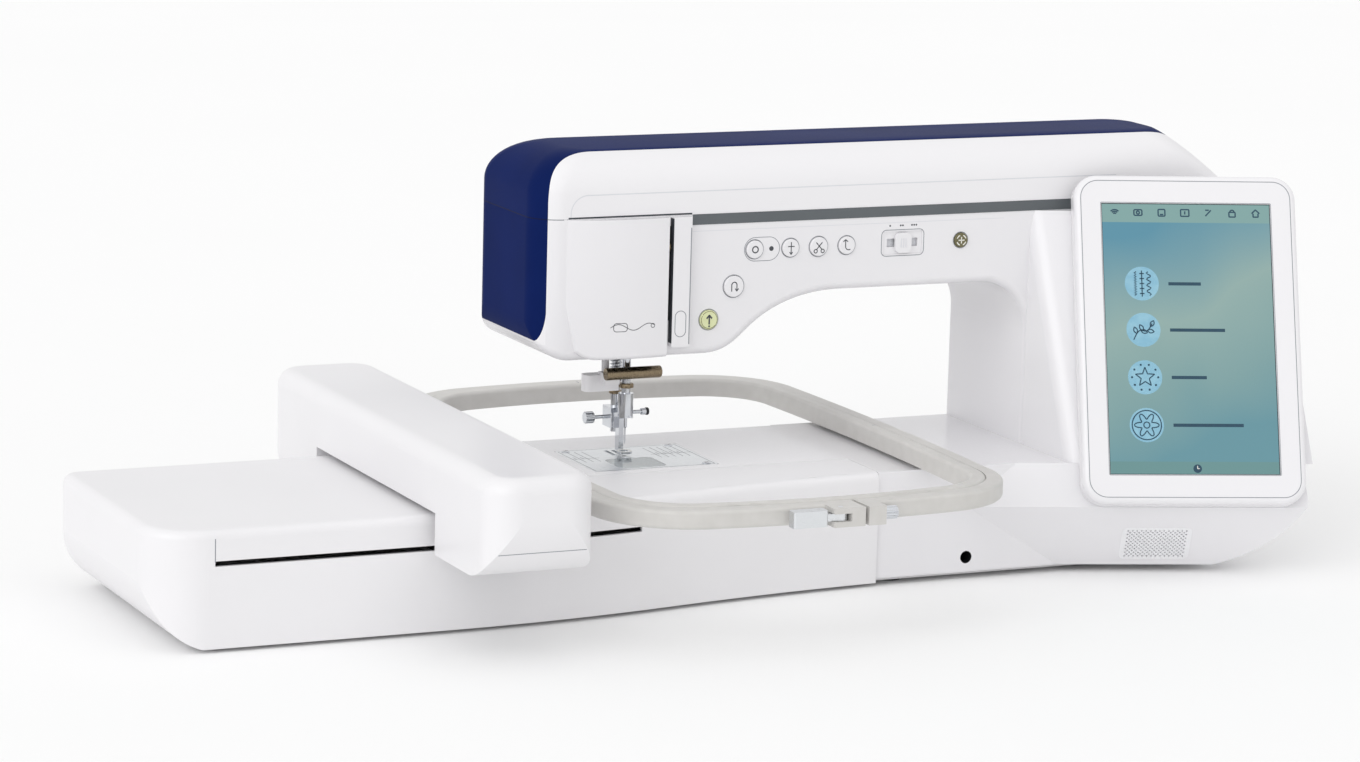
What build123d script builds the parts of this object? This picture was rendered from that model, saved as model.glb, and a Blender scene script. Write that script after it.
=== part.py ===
from build123d import *
from math import cos, radians, sin, tan
import os

os.makedirs("parts", exist_ok=True)

# A free-standing sewing machine with its embroidery unit on the left, in millimetres.
# +X runs right along the machine, +Y to its back, +Z up. The places below are measured from
# the needle's foot point, and the needle stands here in the frame:
NEEDLE_X = -46.5
NEEDLE_Y = 36.0

# Heights above the table
FOOT_H = 3.0
BED_H = 90.0
DECK_H = 286.0
HEAD_DROP = 109.0
ARM_DROP = 64.0
LID_RISE = 49.0
HEAD_BOTTOM = DECK_H - HEAD_DROP
ARM_UNDER = DECK_H - ARM_DROP
LID_TOP = DECK_H + LID_RISE

# Walls, plates and clearances
WALL = 3.0
PLATE_T = 3.0
RUN = 0.05
SLIP = 0.3
CUT = 1.0

# Machine body in plan
HEAD_X = -98.0
BODY_RIGHT = 508.0
BODY_FRONT = -50.0
BODY_BACK = 78.0
SPLIT_Y = 15.0
PILLAR_W = 184.0
PILLAR_X = BODY_RIGHT - PILLAR_W
BED_LEFT = -72.0
BED_FRONT = -62.0
BED_FLOOR = 30.0
BASE_LEFT = 163.0
BASE_SET = 8.0
BASE_RIGHT = BODY_RIGHT - BASE_SET
BASE_FRONT = -116.0
HULL_RUN = 58.0
HULL_RIGHT = BASE_RIGHT - HULL_RUN
BED_SET = 2.0
HULL_RISE = 62.0
KNEE_X = 242.0
KNEE_Z = 17.5
KNEE_R = 5.0
KNEE_DEPTH = 22.0

# Display
LCD_W = 135.6
LCD_H = 217.0
FRAME_W = 178.0
FRAME_H = 263.0
FRAME_R = 19.0
FRAME_T = 18.0
DISPLAY_YAW = 18.3
DISPLAY_TILT = 21.7
DISPLAY_X = 420.6
DISPLAY_Y = -141.5
DISPLAY_Z = 186.4

# Body curves
PLAN_R = 24.0
HEAD_R = 30.0
HEAD_RIGHT = 44.0
SWEEP_X = 160.0
SWEEP_RUN = 38.0
SWEEP_RISE = 19.0
THROAT_R = 40.0
RIM_R = 6.0
UNDERCUT = 25.5
WEDGE_DEEP = 150.0

# Lid
LID_BROW = 22.0
LID_R = 14.0
LID_END_R = 26.0
LID_TAIL = 18.0
LID_EDGE_Y = -25.0
HINGE_GAP = 3.4
HINGE_RISE = 2.5
KNUCKLE_R = 3.2
KNUCKLE_L = 16.0
PIN_R = 1.5
HINGE_XS = (60.0, 380.0)
LID_CROWN_Y = 20.0
LID_CROWN_DROP = 3.0
LID_BACK_RUN = 20.0
LID_BACK_DROP = 4.0
LID_END_RISE = 16.0
NAVY_X = -88.0
NAVY_RISE = 13.0
NAVY_SWEEP = 42.0
NAVY_BEND = 11.0
NAVY_STEP = 8.0
NAVY_BOTTOM = HEAD_BOTTOM + NAVY_RISE

# Face, trim and rear lever
FACE_X0 = -74.0
FACE_OUT = 7.0
GAP_X0 = 8.0
GAP_X1 = 12.0
GAP_RISE = 28.0
GAP_Z0 = HEAD_BOTTOM + GAP_RISE
CHANNEL_X1 = 27.0
CHANNEL_RISE = 8.0
FACE_BOW = 2.0
FACE_RIM = 3.0
STRIP_X0 = 30.0
STRIP_SET = 38.0
STRIP_X1 = BODY_RIGHT - STRIP_SET
STRIP_H = 8.0
STRIP_T = 1.6
STRIP_OUT = 0.4
PILLAR_R = 14.0
BEZEL_T = 3.0
LCD_LAP = 3.0
GLASS_SET = 1.0
FRAME_RIM = 5.0
FRAME_BACK_RIM = 4.0
LEVER_X = 6.0
LEVER_RISE = 28.0
LEVER_Z = HEAD_BOTTOM + LEVER_RISE
LEVER_ROOM = 12.0
LEVER_W = 10.0
LEVER_Y = 66.0
LEVER_EAR = 6.0
LEVER_REACH = 34.0
LEVER_T = 6.0
SLIDER_W = 14.0
SLIDER_H = 9.0
STEM = 6.0

# Needle and presser bars
BAR_R = 3.5
NEEDLE_BAR_ROOM = 14.0
NEEDLE_BAR_TOP = DECK_H - NEEDLE_BAR_ROOM
NEEDLE_BAR_END = 128.0
PRESSER_Y = 20.0
PRESSER_RISE = 22.0
PRESSER_TOP = ARM_UNDER + PRESSER_RISE
PRESSER_END = 106.0
NEEDLE_R = 0.6
NEEDLE_TIP = 99.0
NEEDLE_POINT = 4.0
BAR_WINDOW_X0 = -40.0
BAR_WINDOW_X1 = 30.0
BAR_WINDOW_FRONT = 8.0
BAR_WINDOW_BACK = 16.0
SHANK_R = 1.0
SHANK_END = 112.0
NCLAMP_R = 6.0
NCLAMP_LOW = 7.0
NCLAMP_H = 19.0
NSCREW_L = 18.0
NSCREW_R = 2.6
NSCREW_HEAD = 6.0
FOOT_BLOCK_W = 7.0
FOOT_BLOCK_D = 8.0
FOOT_BLOCK_H = 16.0
FOOT_ROD = 2.0
FOOT_RING_R = 6.0
FOOT_RING_T = 1.6
FOOT_OVER = 2.5
FOOT_CLEAR = 2.0
FOOT_LAP = 1.0
FOOT_SCREW_L = 22.0
FOOT_SCREW_R = 4.6
FOOT_SCREW_HEAD = 7.0
KNURLS = 12
KNURL_R = 1.0
KNURL_OUT = 0.5

# Take-up lever and threader
TAKE_SIDE = 0.8
TAKE_OUT = 3.0
TAKE_TAIL = 14.0
TAKE_H = 4.0
TAKE_EYE = 1.2
THREADER_Z = 143.0
THREADER_H = 13.0
THREADER_W = 19.0
THREADER_RISE = 29.0
THREADER_TOP = HEAD_BOTTOM + THREADER_RISE
ROLLER_Y = -12.5
ROLLER_Z = 158.0
ROLLER_R = 4.5
ROLLER_L = 46.0

# Screws: middles (X, Y) under the base plate, (X, Z) on the back of the arm
SCREW_R = 3.2
SCREW_KEY = 1.4
SCREW_HEAD = 1.5
BASE_SCREWS = ((205.0, -70.0), (400.0, -70.0), (205.0, 30.0), (400.0, 30.0))
BACK_SCREWS = ((-60.0, DECK_H - 56.0), (160.0, DECK_H - 36.0),
               (PILLAR_X + 26.0, BED_H + 40.0), (BODY_RIGHT - 38.0, BED_H + 40.0))

# Shafts
SHAFT_R = 6.0
SHAFT_Y = 22.0
SHAFT_DROP = 28.0
SHAFT_Z = DECK_H - SHAFT_DROP
SHAFT_ROOM = 2.0
LOWER_R = 5.0
LOWER_Y = -4.0
LOWER_Z = 47.0
PULLEY_R = 20.0
PULLEY_SET = 72.0
PULLEY_X = BODY_RIGHT - PULLEY_SET
BELT_W = 10.0
BELT_T = 2.0
BELT_ROOM_X = 8.0
BELT_ROOM_FRONT = 28.0
BELT_ROOM_BACK = 24.0
WHEEL_R = 34.0
WHEEL_T = 17.0
WHEEL_GRIPS = 24
WHEEL_GRIP_R = 2.0
WHEEL_GRIP_OUT = 1.0
WHEEL_RIM = 1.5
HOOK_Y = -22.0
HOOK_R = 19.0
GEAR_R = 12.0
CRANK_R = 20.0

# Needle plate
NPLATE_X0 = -46.0
NPLATE_X1 = 58.0
NPLATE_Y0 = -50.0
NPLATE_Y1 = 32.0
NPLATE_T = 2.0
LEDGE = 5.0
NPLATE_R = 3.0
NEEDLE_HOLE = 2.0
FEED_Y = 14.0
FEED_L = 18.0
FEED_W = 2.4
FEED_PITCH = 6.0
FEED_BLOCK = 77.0
FEED_BLOCK_H = 7.0
FEED_SIDE = 3.0
FEED_LIFT = 14.0
FEED_DROP = 1.5
FEED_STEM_Z = 42.0
BOBBIN_X = -2.0
BOBBIN_SET = 4.0
BOBBIN_W = 40.0
BOBBIN_D = 36.0
BOBBIN_CORNER = 6.0

# Speaker, inlet and switch
GRILLE_Z = 25.0
GRILLE_S = -24.0
GRILLE_W = 56.0
GRILLE_H = 31.0
GRILLE_R = 4.0
GRILLE_T = 1.6
GRILLE_PITCH = 3.6
GRILLE_NX = 14
GRILLE_NY = 8
GRILLE_HOLE = 0.8
SOCKET_Z = 75.0
INLET_Y = 20.0
INLET_W = 30.0
INLET_H = 20.0
INLET_RIM = 3.0
INLET_PITCH = 7.0
BLADE_W = 2.0
BLADE_H = 4.0
SWITCH_Y = 52.0
SWITCH_W = 14.0
SWITCH_H = 18.0
SWITCH_OUT = 2.0
SWITCH_R = 3.0
SWITCH_ROOM = 1.0

# Frame, bearings and hook
BEAM_X0 = -30.0
BEAM_SET = 18.0
BEAM_X1 = BODY_RIGHT - BEAM_SET
BEAM_Y = 46.0
BEAM_D = 16.0
BEAM_H = 20.0
BEAM_LAP = 2.0
BEARING_SET = 38.0
BEARING_XS = (30.0, PILLAR_X - 24.0, BODY_RIGHT - BEARING_SET)
BEARING_W = 10.0
GUIDE_W = 7.5
GUIDE_RISE = 10.0
GUIDE_LOW = HEAD_BOTTOM + GUIDE_RISE
GUIDE_H = 11.0
TAKE_Y = -24.0
TAKE_DROP = 24.0
TAKE_Z = DECK_H - TAKE_DROP
THREADER_X = -17.0
THREADER_Y = 2.0
LOWER_POST_X = 40.0
LOWER_POST_X2 = 320.0
CRANK_X = 8.5
CRANK_T = 6.0
WHEEL_GAP = 1.0
GEAR_W = 10.0
HOOK_SHAFT_R = 4.0
HOOK_Z = 63.0
HOOK_H = 16.0
HOOK_POST = 1.0
SEAT_H = 2.0
BOBBIN_R = 10.3
BOBBIN_H = 11.0
BOBBIN_WALL = 1.0

# Controls on the front of the arm: middle (X, Z) and diameter
ROW_Z = DECK_H - 29.0
BUTTONS = {
    "button_start": (45.5, HEAD_BOTTOM + 27.0, 15.0),
    "button_reverse": (66.0, DECK_H - 57.0, 16.5),
    "button_reinforce": (83.0, ROW_Z, 14.0),
    "button_needle": (113.6, ROW_Z, 14.0),
    "button_cutter": (137.7, ROW_Z, 15.0),
    "button_lifter": (162.0, ROW_Z, 14.0),
    "button_clamp": (262.0, ROW_Z, 11.5),
}
BUTTON_OUT = 1.8
BUTTON_RIM = 1.5
BUTTON_TAIL = 3.0
SLIDER_X = 211.0
SLIDER_Z = ROW_Z
SLIDER_DEEP = 1.0
SLIDER_ROOM = 1.0
SLIDER_TRAVEL = 10.0

# Embroidery unit
UNIT_LEFT = -433.0
UNIT_FRONT = -156.0
UNIT_BACK = 75.0
UNIT_SPLIT = 51.0
UNIT_GAP = 0.3
UNIT_CORNER = 40.0
UNIT_BACK_CORNER = 14.0
UNIT_RIM = 7.0
UNIT_FLAT_X = -213.0
UNIT_TURN_X = -20.0
UNIT_TURN_Y = -139.0
UNIT_END_Y = -118.0
UNIT_FLOOR_X = -396.0
UNIT_HULL_Z = 47.0
SLOT_X0 = -387.0
SLOT_X1 = -48.0
SLOT_REAR_X1 = -80.0
SLOT_Z0 = 63.5
SLOT_H = 4.0
RAIL_R = 4.0
RAIL_Z = 59.0
RAIL_YS = (-100.0, 20.0)
RAIL_END = 7.0
RAIL_BLOCK_T = 8.0
RAIL_BLOCK_W = 6.0
CARRIAGE_X = -181.0
CARRIAGE_W = 40.0
CARRIAGE_ROOM = 1.0
TONGUE_W = 30.0
TONGUE_T = 3.0
TONGUE_REACH = 76.0

# Feet: middles (X, Y) under the machine and under the unit
FOOT_R = 11.0
FEET = ((185.0, -92.0), (HULL_RIGHT - 22.0, -92.0), (185.0, 55.0), (HULL_RIGHT - 22.0, 55.0),
        (-380.0, -120.0), (-380.0, 50.0), (-110.0, -120.0), (-110.0, 50.0), (120.0, -95.0))

# Carriage arm
ARM_W = 84.0
ARM_FRONT = -275.0
ARM_BACK = 195.0
ARM_TOP = 139.0
ARM_LIFT = 4.0
ARM_WALL = 6.0
ARM_RIM = 12.0
ARM_CORNER = 24.0
CHIN_Z = 63.0
CHIN_GAP = 10.0
CHIN_R = 45.0
POST_D = 24.0
DECK_T = 4.0
Y_RAIL_Z = 118.0
Y_RAIL_DX = 15.0
Y_BRACKET_T = 8.0
HOLDER_Y = -30.0
HOLDER_L = 80.0
HOLDER_T = 12.0
NECK_T = 3.0
NECK_L = 60.0
Y_TRAVEL_FRONT = 160.0
Y_TRAVEL_BACK = 150.0

# Hoop
HOOP_X0 = -122.0
HOOP_X1 = 219.0
HOOP_Y0 = -281.0
HOOP_Y1 = 224.0
HOOP_Z = 93.0
HOOP_H = 14.0
HOOP_BAND = 12.0
HOOP_CORNER = 75.0
HOOP_BULGE_END = 16.0
HOOP_BULGE_SIDE = 7.0
HOOP_RISE = 1.0
HOOP_RIM = 3.0
HOOP_STEP = 2.0
CLAMP_X0 = 36.0
CLAMP_X1 = 61.0
CLAMP_GAP = 3.0
CLAMP_X2 = 78.0
CLAMP_OUT = 15.0
CLAMP_PIN_X = 44.0
CLAMP_PIN_R = 2.0
CLAMP_EYE = 5.0
CLAMP_EAR = 4.0
LEVER_TIP_X = 4.0
LEVER_ROOT = 12.5
LEVER_SET = 1.0
LEVER_RIM = 2.0
SCREW_TAIL = 9.0
KNOB_R = 5.0
KNOB_L = 11.0
KNOB_GRIPS = 14
KNOB_GRIP_R = 1.1
KNOB_GRIP_OUT = 0.6


def level(height):
    """Level plane at a height: X right, Y back."""
    return Plane(origin=(NEEDLE_X, NEEDLE_Y, height))


def front(y):
    """Upright plane across the machine: X right, Z up, facing the user."""
    return Plane(origin=(NEEDLE_X, NEEDLE_Y + y, 0), x_dir=(1, 0, 0), z_dir=(0, -1, 0))


def side(x):
    """Upright plane along the depth: Y back, Z up, facing right."""
    return Plane(origin=(NEEDLE_X + x, NEEDLE_Y, 0), x_dir=(0, 1, 0), z_dir=(1, 0, 0))


def box_between(x0, x1, y0, y1, z0, z1, mode=Mode.ADD):
    """Box between two corners, measured from the needle."""
    with Locations((NEEDLE_X + x0, NEEDLE_Y + y0, z0)):
        Box(x1 - x0, y1 - y0, z1 - z0, align=(Align.MIN, Align.MIN, Align.MIN), mode=mode)


# Display plane: its own X along the screen, Y up the screen, Z out towards the user
YAW = radians(DISPLAY_YAW)
TILT = radians(DISPLAY_TILT)
ALONG = Vector(cos(YAW), -sin(YAW), 0)
INTO = Vector(sin(YAW), cos(YAW), 0)
UP = INTO * sin(TILT) + Vector(0, 0, cos(TILT))
DISPLAY_ORIGIN = Vector(NEEDLE_X + DISPLAY_X, NEEDLE_Y + DISPLAY_Y, DISPLAY_Z)
DISPLAY = Plane(origin=DISPLAY_ORIGIN, x_dir=ALONG, z_dir=ALONG.cross(UP))

# Upright plane square to the screen's width, for the wedge that carries the display
WEDGE = Plane(origin=(NEEDLE_X + DISPLAY_X, NEEDLE_Y + DISPLAY_Y, 0), x_dir=INTO, z_dir=ALONG)
BASE_FLOOR = FOOT_H + PLATE_T
LIP_Z = DISPLAY_Z - FRAME_H / 2 * cos(TILT) - FRAME_T * sin(TILT)


def back_n(z):
    """How far into the machine the display's back lies at a height."""
    return FRAME_T * cos(TILT) + (z - DISPLAY_Z + FRAME_T * sin(TILT)) * tan(TILT)


def body_plan(inset):
    """Plan of head, arm and lid, for an open sketch: a rectangle with round corners."""
    with Locations(((HEAD_X + BODY_RIGHT) / 2, (BODY_FRONT + BODY_BACK) / 2)):
        RectangleRounded(BODY_RIGHT - HEAD_X - 2 * inset, BODY_BACK - BODY_FRONT - 2 * inset,
                         PLAN_R - inset)


def body_block(inset):
    """Head, arm and pillar as one block, drawn in by an inset for the hollow inside."""
    with BuildPart() as block:
        with BuildSketch(front(BODY_FRONT + inset)):
            left = HEAD_X + inset
            right = BODY_RIGHT - inset
            bottom = HEAD_BOTTOM + inset
            under = ARM_UNDER + inset
            pillar = PILLAR_X + inset
            throat = THROAT_R + inset
            with BuildLine():
                Polyline((HEAD_RIGHT, bottom), (left, bottom), (left, DECK_H - inset),
                         (right, DECK_H - inset), (right, BED_H + inset), (pillar, BED_H + inset),
                         (pillar, under - throat))
                RadiusArc((pillar, under - throat), (pillar - throat, under), -throat)
                Line((pillar - throat, under), (SWEEP_X, under))
                Spline((SWEEP_X, under),
                       (HEAD_RIGHT + SWEEP_RUN - inset / 2, HEAD_BOTTOM + SWEEP_RISE + inset),
                       (HEAD_RIGHT, bottom), tangents=((-1, 0), (-1, 0)))
            profile = make_face()
            fillet(profile.vertices().group_by(Axis.X)[0].sort_by(Axis.Y)[0], HEAD_R - inset)
        extrude(amount=-(BODY_BACK - BODY_FRONT - 2 * inset))
        with BuildSketch(level(0)):
            body_plan(inset)
        extrude(amount=LID_TOP, mode=Mode.INTERSECT)
        if not inset:
            rims = block.edges().filter_by(GeomType.CIRCLE, reverse=True).filter_by_position(
                Axis.Y, NEEDLE_Y + BODY_FRONT - RUN, NEEDLE_Y + BODY_FRONT + RUN)
            rims = rims.filter_by(lambda e: BED_H + CUT < e.center().Z < DECK_H - CUT)
            rims = rims.filter_by(lambda e: HEAD_X + PLAN_R < e.center().X - NEEDLE_X < PILLAR_X - CUT)
            fillet(rims, RIM_R)
    return block.part


def lid_block(inset):
    """Lid as one block, drawn in by an inset for the hollow inside."""
    with BuildPart() as block:
        with BuildSketch(side(HEAD_X)):
            with BuildLine():
                Polyline((BODY_FRONT, DECK_H), (BODY_FRONT, DECK_H + LID_BROW),
                         (LID_EDGE_Y - LID_CROWN_DROP, LID_TOP - LID_CROWN_DROP), (LID_CROWN_Y, LID_TOP),
                         (BODY_BACK - LID_BACK_RUN, LID_TOP - LID_BACK_DROP),
                         (BODY_BACK, DECK_H + LID_BROW), (BODY_BACK, DECK_H), close=True)
            profile = make_face()
            fillet(profile.vertices().filter_by_position(Axis.Y, DECK_H + CUT, LID_TOP + CUT), LID_R)
            if inset:
                offset(amount=-inset, mode=Mode.REPLACE)
        extrude(amount=BODY_RIGHT - HEAD_X)
        with BuildSketch(front(BODY_FRONT)):
            with BuildLine():
                Polyline((HEAD_X + inset, DECK_H), (HEAD_X + inset, LID_TOP + CUT - inset),
                         (BODY_RIGHT - LID_TAIL - inset, LID_TOP + CUT - inset),
                         (BODY_RIGHT - inset, DECK_H + LID_END_RISE), (BODY_RIGHT - inset, DECK_H), close=True)
            outline = make_face()
            corners = outline.vertices().filter_by_position(Axis.Y, LID_TOP - inset, LID_TOP + 2 * CUT)
            fillet(corners, LID_END_R - inset)
        extrude(amount=-(BODY_BACK - BODY_FRONT), mode=Mode.INTERSECT)
        with BuildSketch(level(DECK_H)):
            body_plan(inset)
        extrude(amount=LID_RISE + CUT, mode=Mode.INTERSECT)
    return block.part


def wedge_block(inset, x0, x1, y1, z0, z1):
    """Sloping block behind and under the display, kept between the given limits."""
    with BuildPart() as block:
        with BuildSketch(WEDGE):
            with BuildLine():
                Polyline((back_n(LIP_Z) + UNDERCUT, BASE_FLOOR), (back_n(LIP_Z), LIP_Z),
                         (back_n(DECK_H), DECK_H), (WEDGE_DEEP, DECK_H), (WEDGE_DEEP, BASE_FLOOR), close=True)
            make_face()
            if inset:
                offset(amount=-inset, mode=Mode.REPLACE)
        extrude(amount=BODY_RIGHT, both=True)
        box_between(x0, x1, BASE_FRONT - WEDGE_DEEP, y1, z0, z1, Mode.INTERSECT)
    return block.part


BODY = body_block(0)
BODY_HOLLOW = body_block(WALL)
LID = lid_block(0)
LID_HOLLOW = lid_block(WALL)

# Lid shell, parted into a white front and a navy rear
with BuildPart() as lid_shell:
    add(LID)
    add(LID_HOLLOW, mode=Mode.SUBTRACT)
    box_between(HEAD_X + PLAN_R, BODY_RIGHT - PLAN_R, BODY_FRONT + WALL, BODY_BACK - WALL,
                DECK_H, DECK_H + WALL + CUT, Mode.SUBTRACT)

HINGE_Y = BODY_BACK + HINGE_GAP
HINGE_Z = DECK_H + HINGE_RISE

with BuildPart() as lid_front:
    add(lid_shell.part)
    with BuildSketch(front(LID_EDGE_Y)):
        with BuildLine():
            Line((NAVY_X, DECK_H), (NAVY_X, DECK_H + NAVY_STEP))
            ThreePointArc((NAVY_X, DECK_H + NAVY_STEP), (NAVY_X + NAVY_BEND, LID_TOP - 2 * NAVY_STEP),
                          (NAVY_X + NAVY_SWEEP, LID_TOP + CUT))
            Polyline((NAVY_X + NAVY_SWEEP, LID_TOP + CUT), (BODY_RIGHT + CUT, LID_TOP + CUT),
                     (BODY_RIGHT + CUT, DECK_H), (NAVY_X, DECK_H))
        make_face()
    extrude(amount=LID_EDGE_Y - BODY_FRONT + CUT, mode=Mode.INTERSECT)
lid_front.part.label = "lid_front"
export_step(lid_front.part, "parts/lid_front.step")

with BuildPart() as lid_rear:
    add(lid_shell.part)
    add(lid_front.part, mode=Mode.SUBTRACT)
    for hinge_x in HINGE_XS:
        with BuildSketch(side(hinge_x)):
            with Locations((HINGE_Y, HINGE_Z)):
                Circle(KNUCKLE_R)
        extrude(amount=KNUCKLE_L)
        box_between(hinge_x, hinge_x + KNUCKLE_L, BODY_BACK - CUT, HINGE_Y,
                    HINGE_Z - PIN_R, HINGE_Z + KNUCKLE_R)
        with BuildSketch(side(hinge_x)):
            with Locations((HINGE_Y, HINGE_Z)):
                Circle(PIN_R + RUN)
        extrude(amount=KNUCKLE_L, mode=Mode.SUBTRACT)
lid_rear.part.label = "lid_rear"
export_step(lid_rear.part, "parts/lid_rear.step")

with BuildPart() as hinge_pins:
    for hinge_x in HINGE_XS:
        with BuildSketch(side(hinge_x - KNUCKLE_L)):
            with Locations((HINGE_Y, HINGE_Z)):
                Circle(PIN_R)
        extrude(amount=3 * KNUCKLE_L)
hinge_pins.part.label = "hinge_pins"
export_step(hinge_pins.part, "parts/hinge_pins.step")

# Body shell, parted into front cover, rear cover and navy end cover
with BuildPart() as body_shell:
    add(BODY)
    add(BODY_HOLLOW, mode=Mode.SUBTRACT)
    box_between(PULLEY_X - BELT_ROOM_X, PULLEY_X + BELT_W + BELT_ROOM_X,
                LOWER_Y - BELT_ROOM_FRONT, SHAFT_Y + BELT_ROOM_BACK,
                BED_H - CUT, BED_H + WALL + CUT, Mode.SUBTRACT)
    box_between(BAR_WINDOW_X0, BAR_WINDOW_X1, BODY_FRONT + BAR_WINDOW_FRONT, PRESSER_Y + BAR_WINDOW_BACK,
                HEAD_BOTTOM - CUT, HEAD_BOTTOM + WALL + CUT, Mode.SUBTRACT)
    with BuildSketch(side(BODY_RIGHT + CUT)):
        with Locations((SHAFT_Y, SHAFT_Z)):
            Circle(SHAFT_R + SHAFT_ROOM)
    extrude(amount=-(WALL + 2 * CUT), mode=Mode.SUBTRACT)

with BuildPart() as end_cover:
    add(body_shell.part)
    box_between(HEAD_X - CUT, NAVY_X, BODY_FRONT - CUT, BODY_BACK + CUT, NAVY_BOTTOM, DECK_H, Mode.INTERSECT)
end_cover.part.label = "end_cover"
export_step(end_cover.part, "parts/end_cover.step")

with BuildPart() as arm_front_cover:
    add(body_shell.part)
    box_between(HEAD_X - CUT, NAVY_X, BODY_FRONT - CUT, BODY_BACK + CUT, NAVY_BOTTOM, DECK_H + CUT,
                Mode.SUBTRACT)
    box_between(HEAD_X - CUT, BODY_RIGHT + CUT, SPLIT_Y, BODY_BACK + CUT, BED_H - CUT, DECK_H + CUT,
                Mode.SUBTRACT)
    box_between(STRIP_X0, STRIP_X1, BODY_FRONT - CUT, BODY_FRONT + STRIP_T, DECK_H - STRIP_H, DECK_H + CUT,
                Mode.SUBTRACT)
    box_between(GAP_X0, GAP_X1, BODY_FRONT - CUT, BODY_FRONT + WALL + CUT, GAP_Z0, DECK_H - STRIP_H,
                Mode.SUBTRACT)
    for spot_x, spot_z, spot_d in BUTTONS.values():
        with BuildSketch(front(BODY_FRONT - CUT)):
            with Locations((spot_x, spot_z)):
                Circle(spot_d / 2 + SLIP)
        extrude(amount=-(WALL + 2 * CUT), mode=Mode.SUBTRACT)
    box_between(SLIDER_X - SLIDER_W / 2 - SLIDER_TRAVEL, SLIDER_X + SLIDER_W / 2 + SLIDER_TRAVEL,
                BODY_FRONT - CUT, BODY_FRONT + SLIDER_DEEP, SLIDER_Z - SLIDER_H, SLIDER_Z + SLIDER_H,
                Mode.SUBTRACT)
    box_between(SLIDER_X - STEM / 2 - SLIDER_TRAVEL - SLIP, SLIDER_X + STEM / 2 + SLIDER_TRAVEL + SLIP,
                BODY_FRONT - CUT, BODY_FRONT + WALL + CUT,
                SLIDER_Z - STEM / 2 - SLIP, SLIDER_Z + STEM / 2 + SLIP, Mode.SUBTRACT)
    box_between(GAP_X1, CHANNEL_X1, BODY_FRONT - FACE_OUT + STRIP_OUT, BODY_FRONT,
                HEAD_BOTTOM + CHANNEL_RISE, DECK_H - STRIP_OUT)
arm_front_cover.part.label = "arm_front_cover"
export_step(arm_front_cover.part, "parts/arm_front_cover.step")

with BuildPart() as arm_rear_cover:
    add(body_shell.part)
    box_between(HEAD_X - CUT, NAVY_X, BODY_FRONT - CUT, BODY_BACK + CUT, NAVY_BOTTOM, DECK_H + CUT,
                Mode.SUBTRACT)
    box_between(HEAD_X - CUT, BODY_RIGHT + CUT, BODY_FRONT - CUT, SPLIT_Y, BED_H - CUT, DECK_H + CUT,
                Mode.SUBTRACT)
    for hinge_x in HINGE_XS:
        for start in (hinge_x - KNUCKLE_L - SLIP, hinge_x + KNUCKLE_L + SLIP):
            with BuildSketch(side(start)):
                with Locations((HINGE_Y, HINGE_Z)):
                    Circle(KNUCKLE_R)
            extrude(amount=KNUCKLE_L)
            box_between(start, start + KNUCKLE_L, BODY_BACK - CUT, HINGE_Y, HINGE_Z - 2 * KNUCKLE_R, DECK_H)
            box_between(start, start + KNUCKLE_L, BODY_BACK + SLIP, HINGE_Y, DECK_H - CUT, HINGE_Z)
            with BuildSketch(side(start)):
                with Locations((HINGE_Y, HINGE_Z)):
                    Circle(PIN_R)
            extrude(amount=KNUCKLE_L, mode=Mode.SUBTRACT)
    box_between(LEVER_X - LEVER_W / 2 - CUT, LEVER_X + LEVER_W / 2 + CUT,
                BODY_BACK - WALL - CUT, BODY_BACK + CUT,
                LEVER_Z - LEVER_ROOM, LEVER_Z + LEVER_ROOM, Mode.SUBTRACT)
arm_rear_cover.part.label = "arm_rear_cover"
export_step(arm_rear_cover.part, "parts/arm_rear_cover.step")

with BuildPart() as trim_strip:
    box_between(STRIP_X0, STRIP_X1, BODY_FRONT - STRIP_OUT, BODY_FRONT + STRIP_T, DECK_H - STRIP_H, DECK_H)
trim_strip.part.label = "trim_strip"
export_step(trim_strip.part, "parts/trim_strip.step")

# Face cover on the head
with BuildPart() as face_cover:
    with BuildSketch(level(HEAD_BOTTOM)):
        with BuildLine():
            ThreePointArc((FACE_X0, BODY_FRONT), ((FACE_X0 + GAP_X0) / 2, BODY_FRONT - FACE_OUT - FACE_BOW),
                          (GAP_X0, BODY_FRONT - FACE_OUT))
            Polyline((GAP_X0, BODY_FRONT - FACE_OUT), (GAP_X0, BODY_FRONT), (FACE_X0, BODY_FRONT))
        make_face()
    extrude(amount=DECK_H - HEAD_BOTTOM - STRIP_OUT)
    with BuildSketch(front(BODY_FRONT)):
        with BuildLine():
            Polyline((FACE_X0, HEAD_BOTTOM + CUT), (FACE_X0, DECK_H), (GAP_X0, DECK_H),
                     (GAP_X0, HEAD_BOTTOM + CUT), close=True)
        panel = make_face()
        fillet(panel.vertices().group_by(Axis.Y)[0].sort_by(Axis.X)[0], HEAD_R * 0.8)
    extrude(amount=2 * FACE_OUT, mode=Mode.INTERSECT)
    fillet(face_cover.faces().sort_by(Axis.Z)[0].edges().sort_by(Axis.Y)[0], FACE_RIM)
face_cover.part.label = "face_cover"
export_step(face_cover.part, "parts/face_cover.step")

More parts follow.
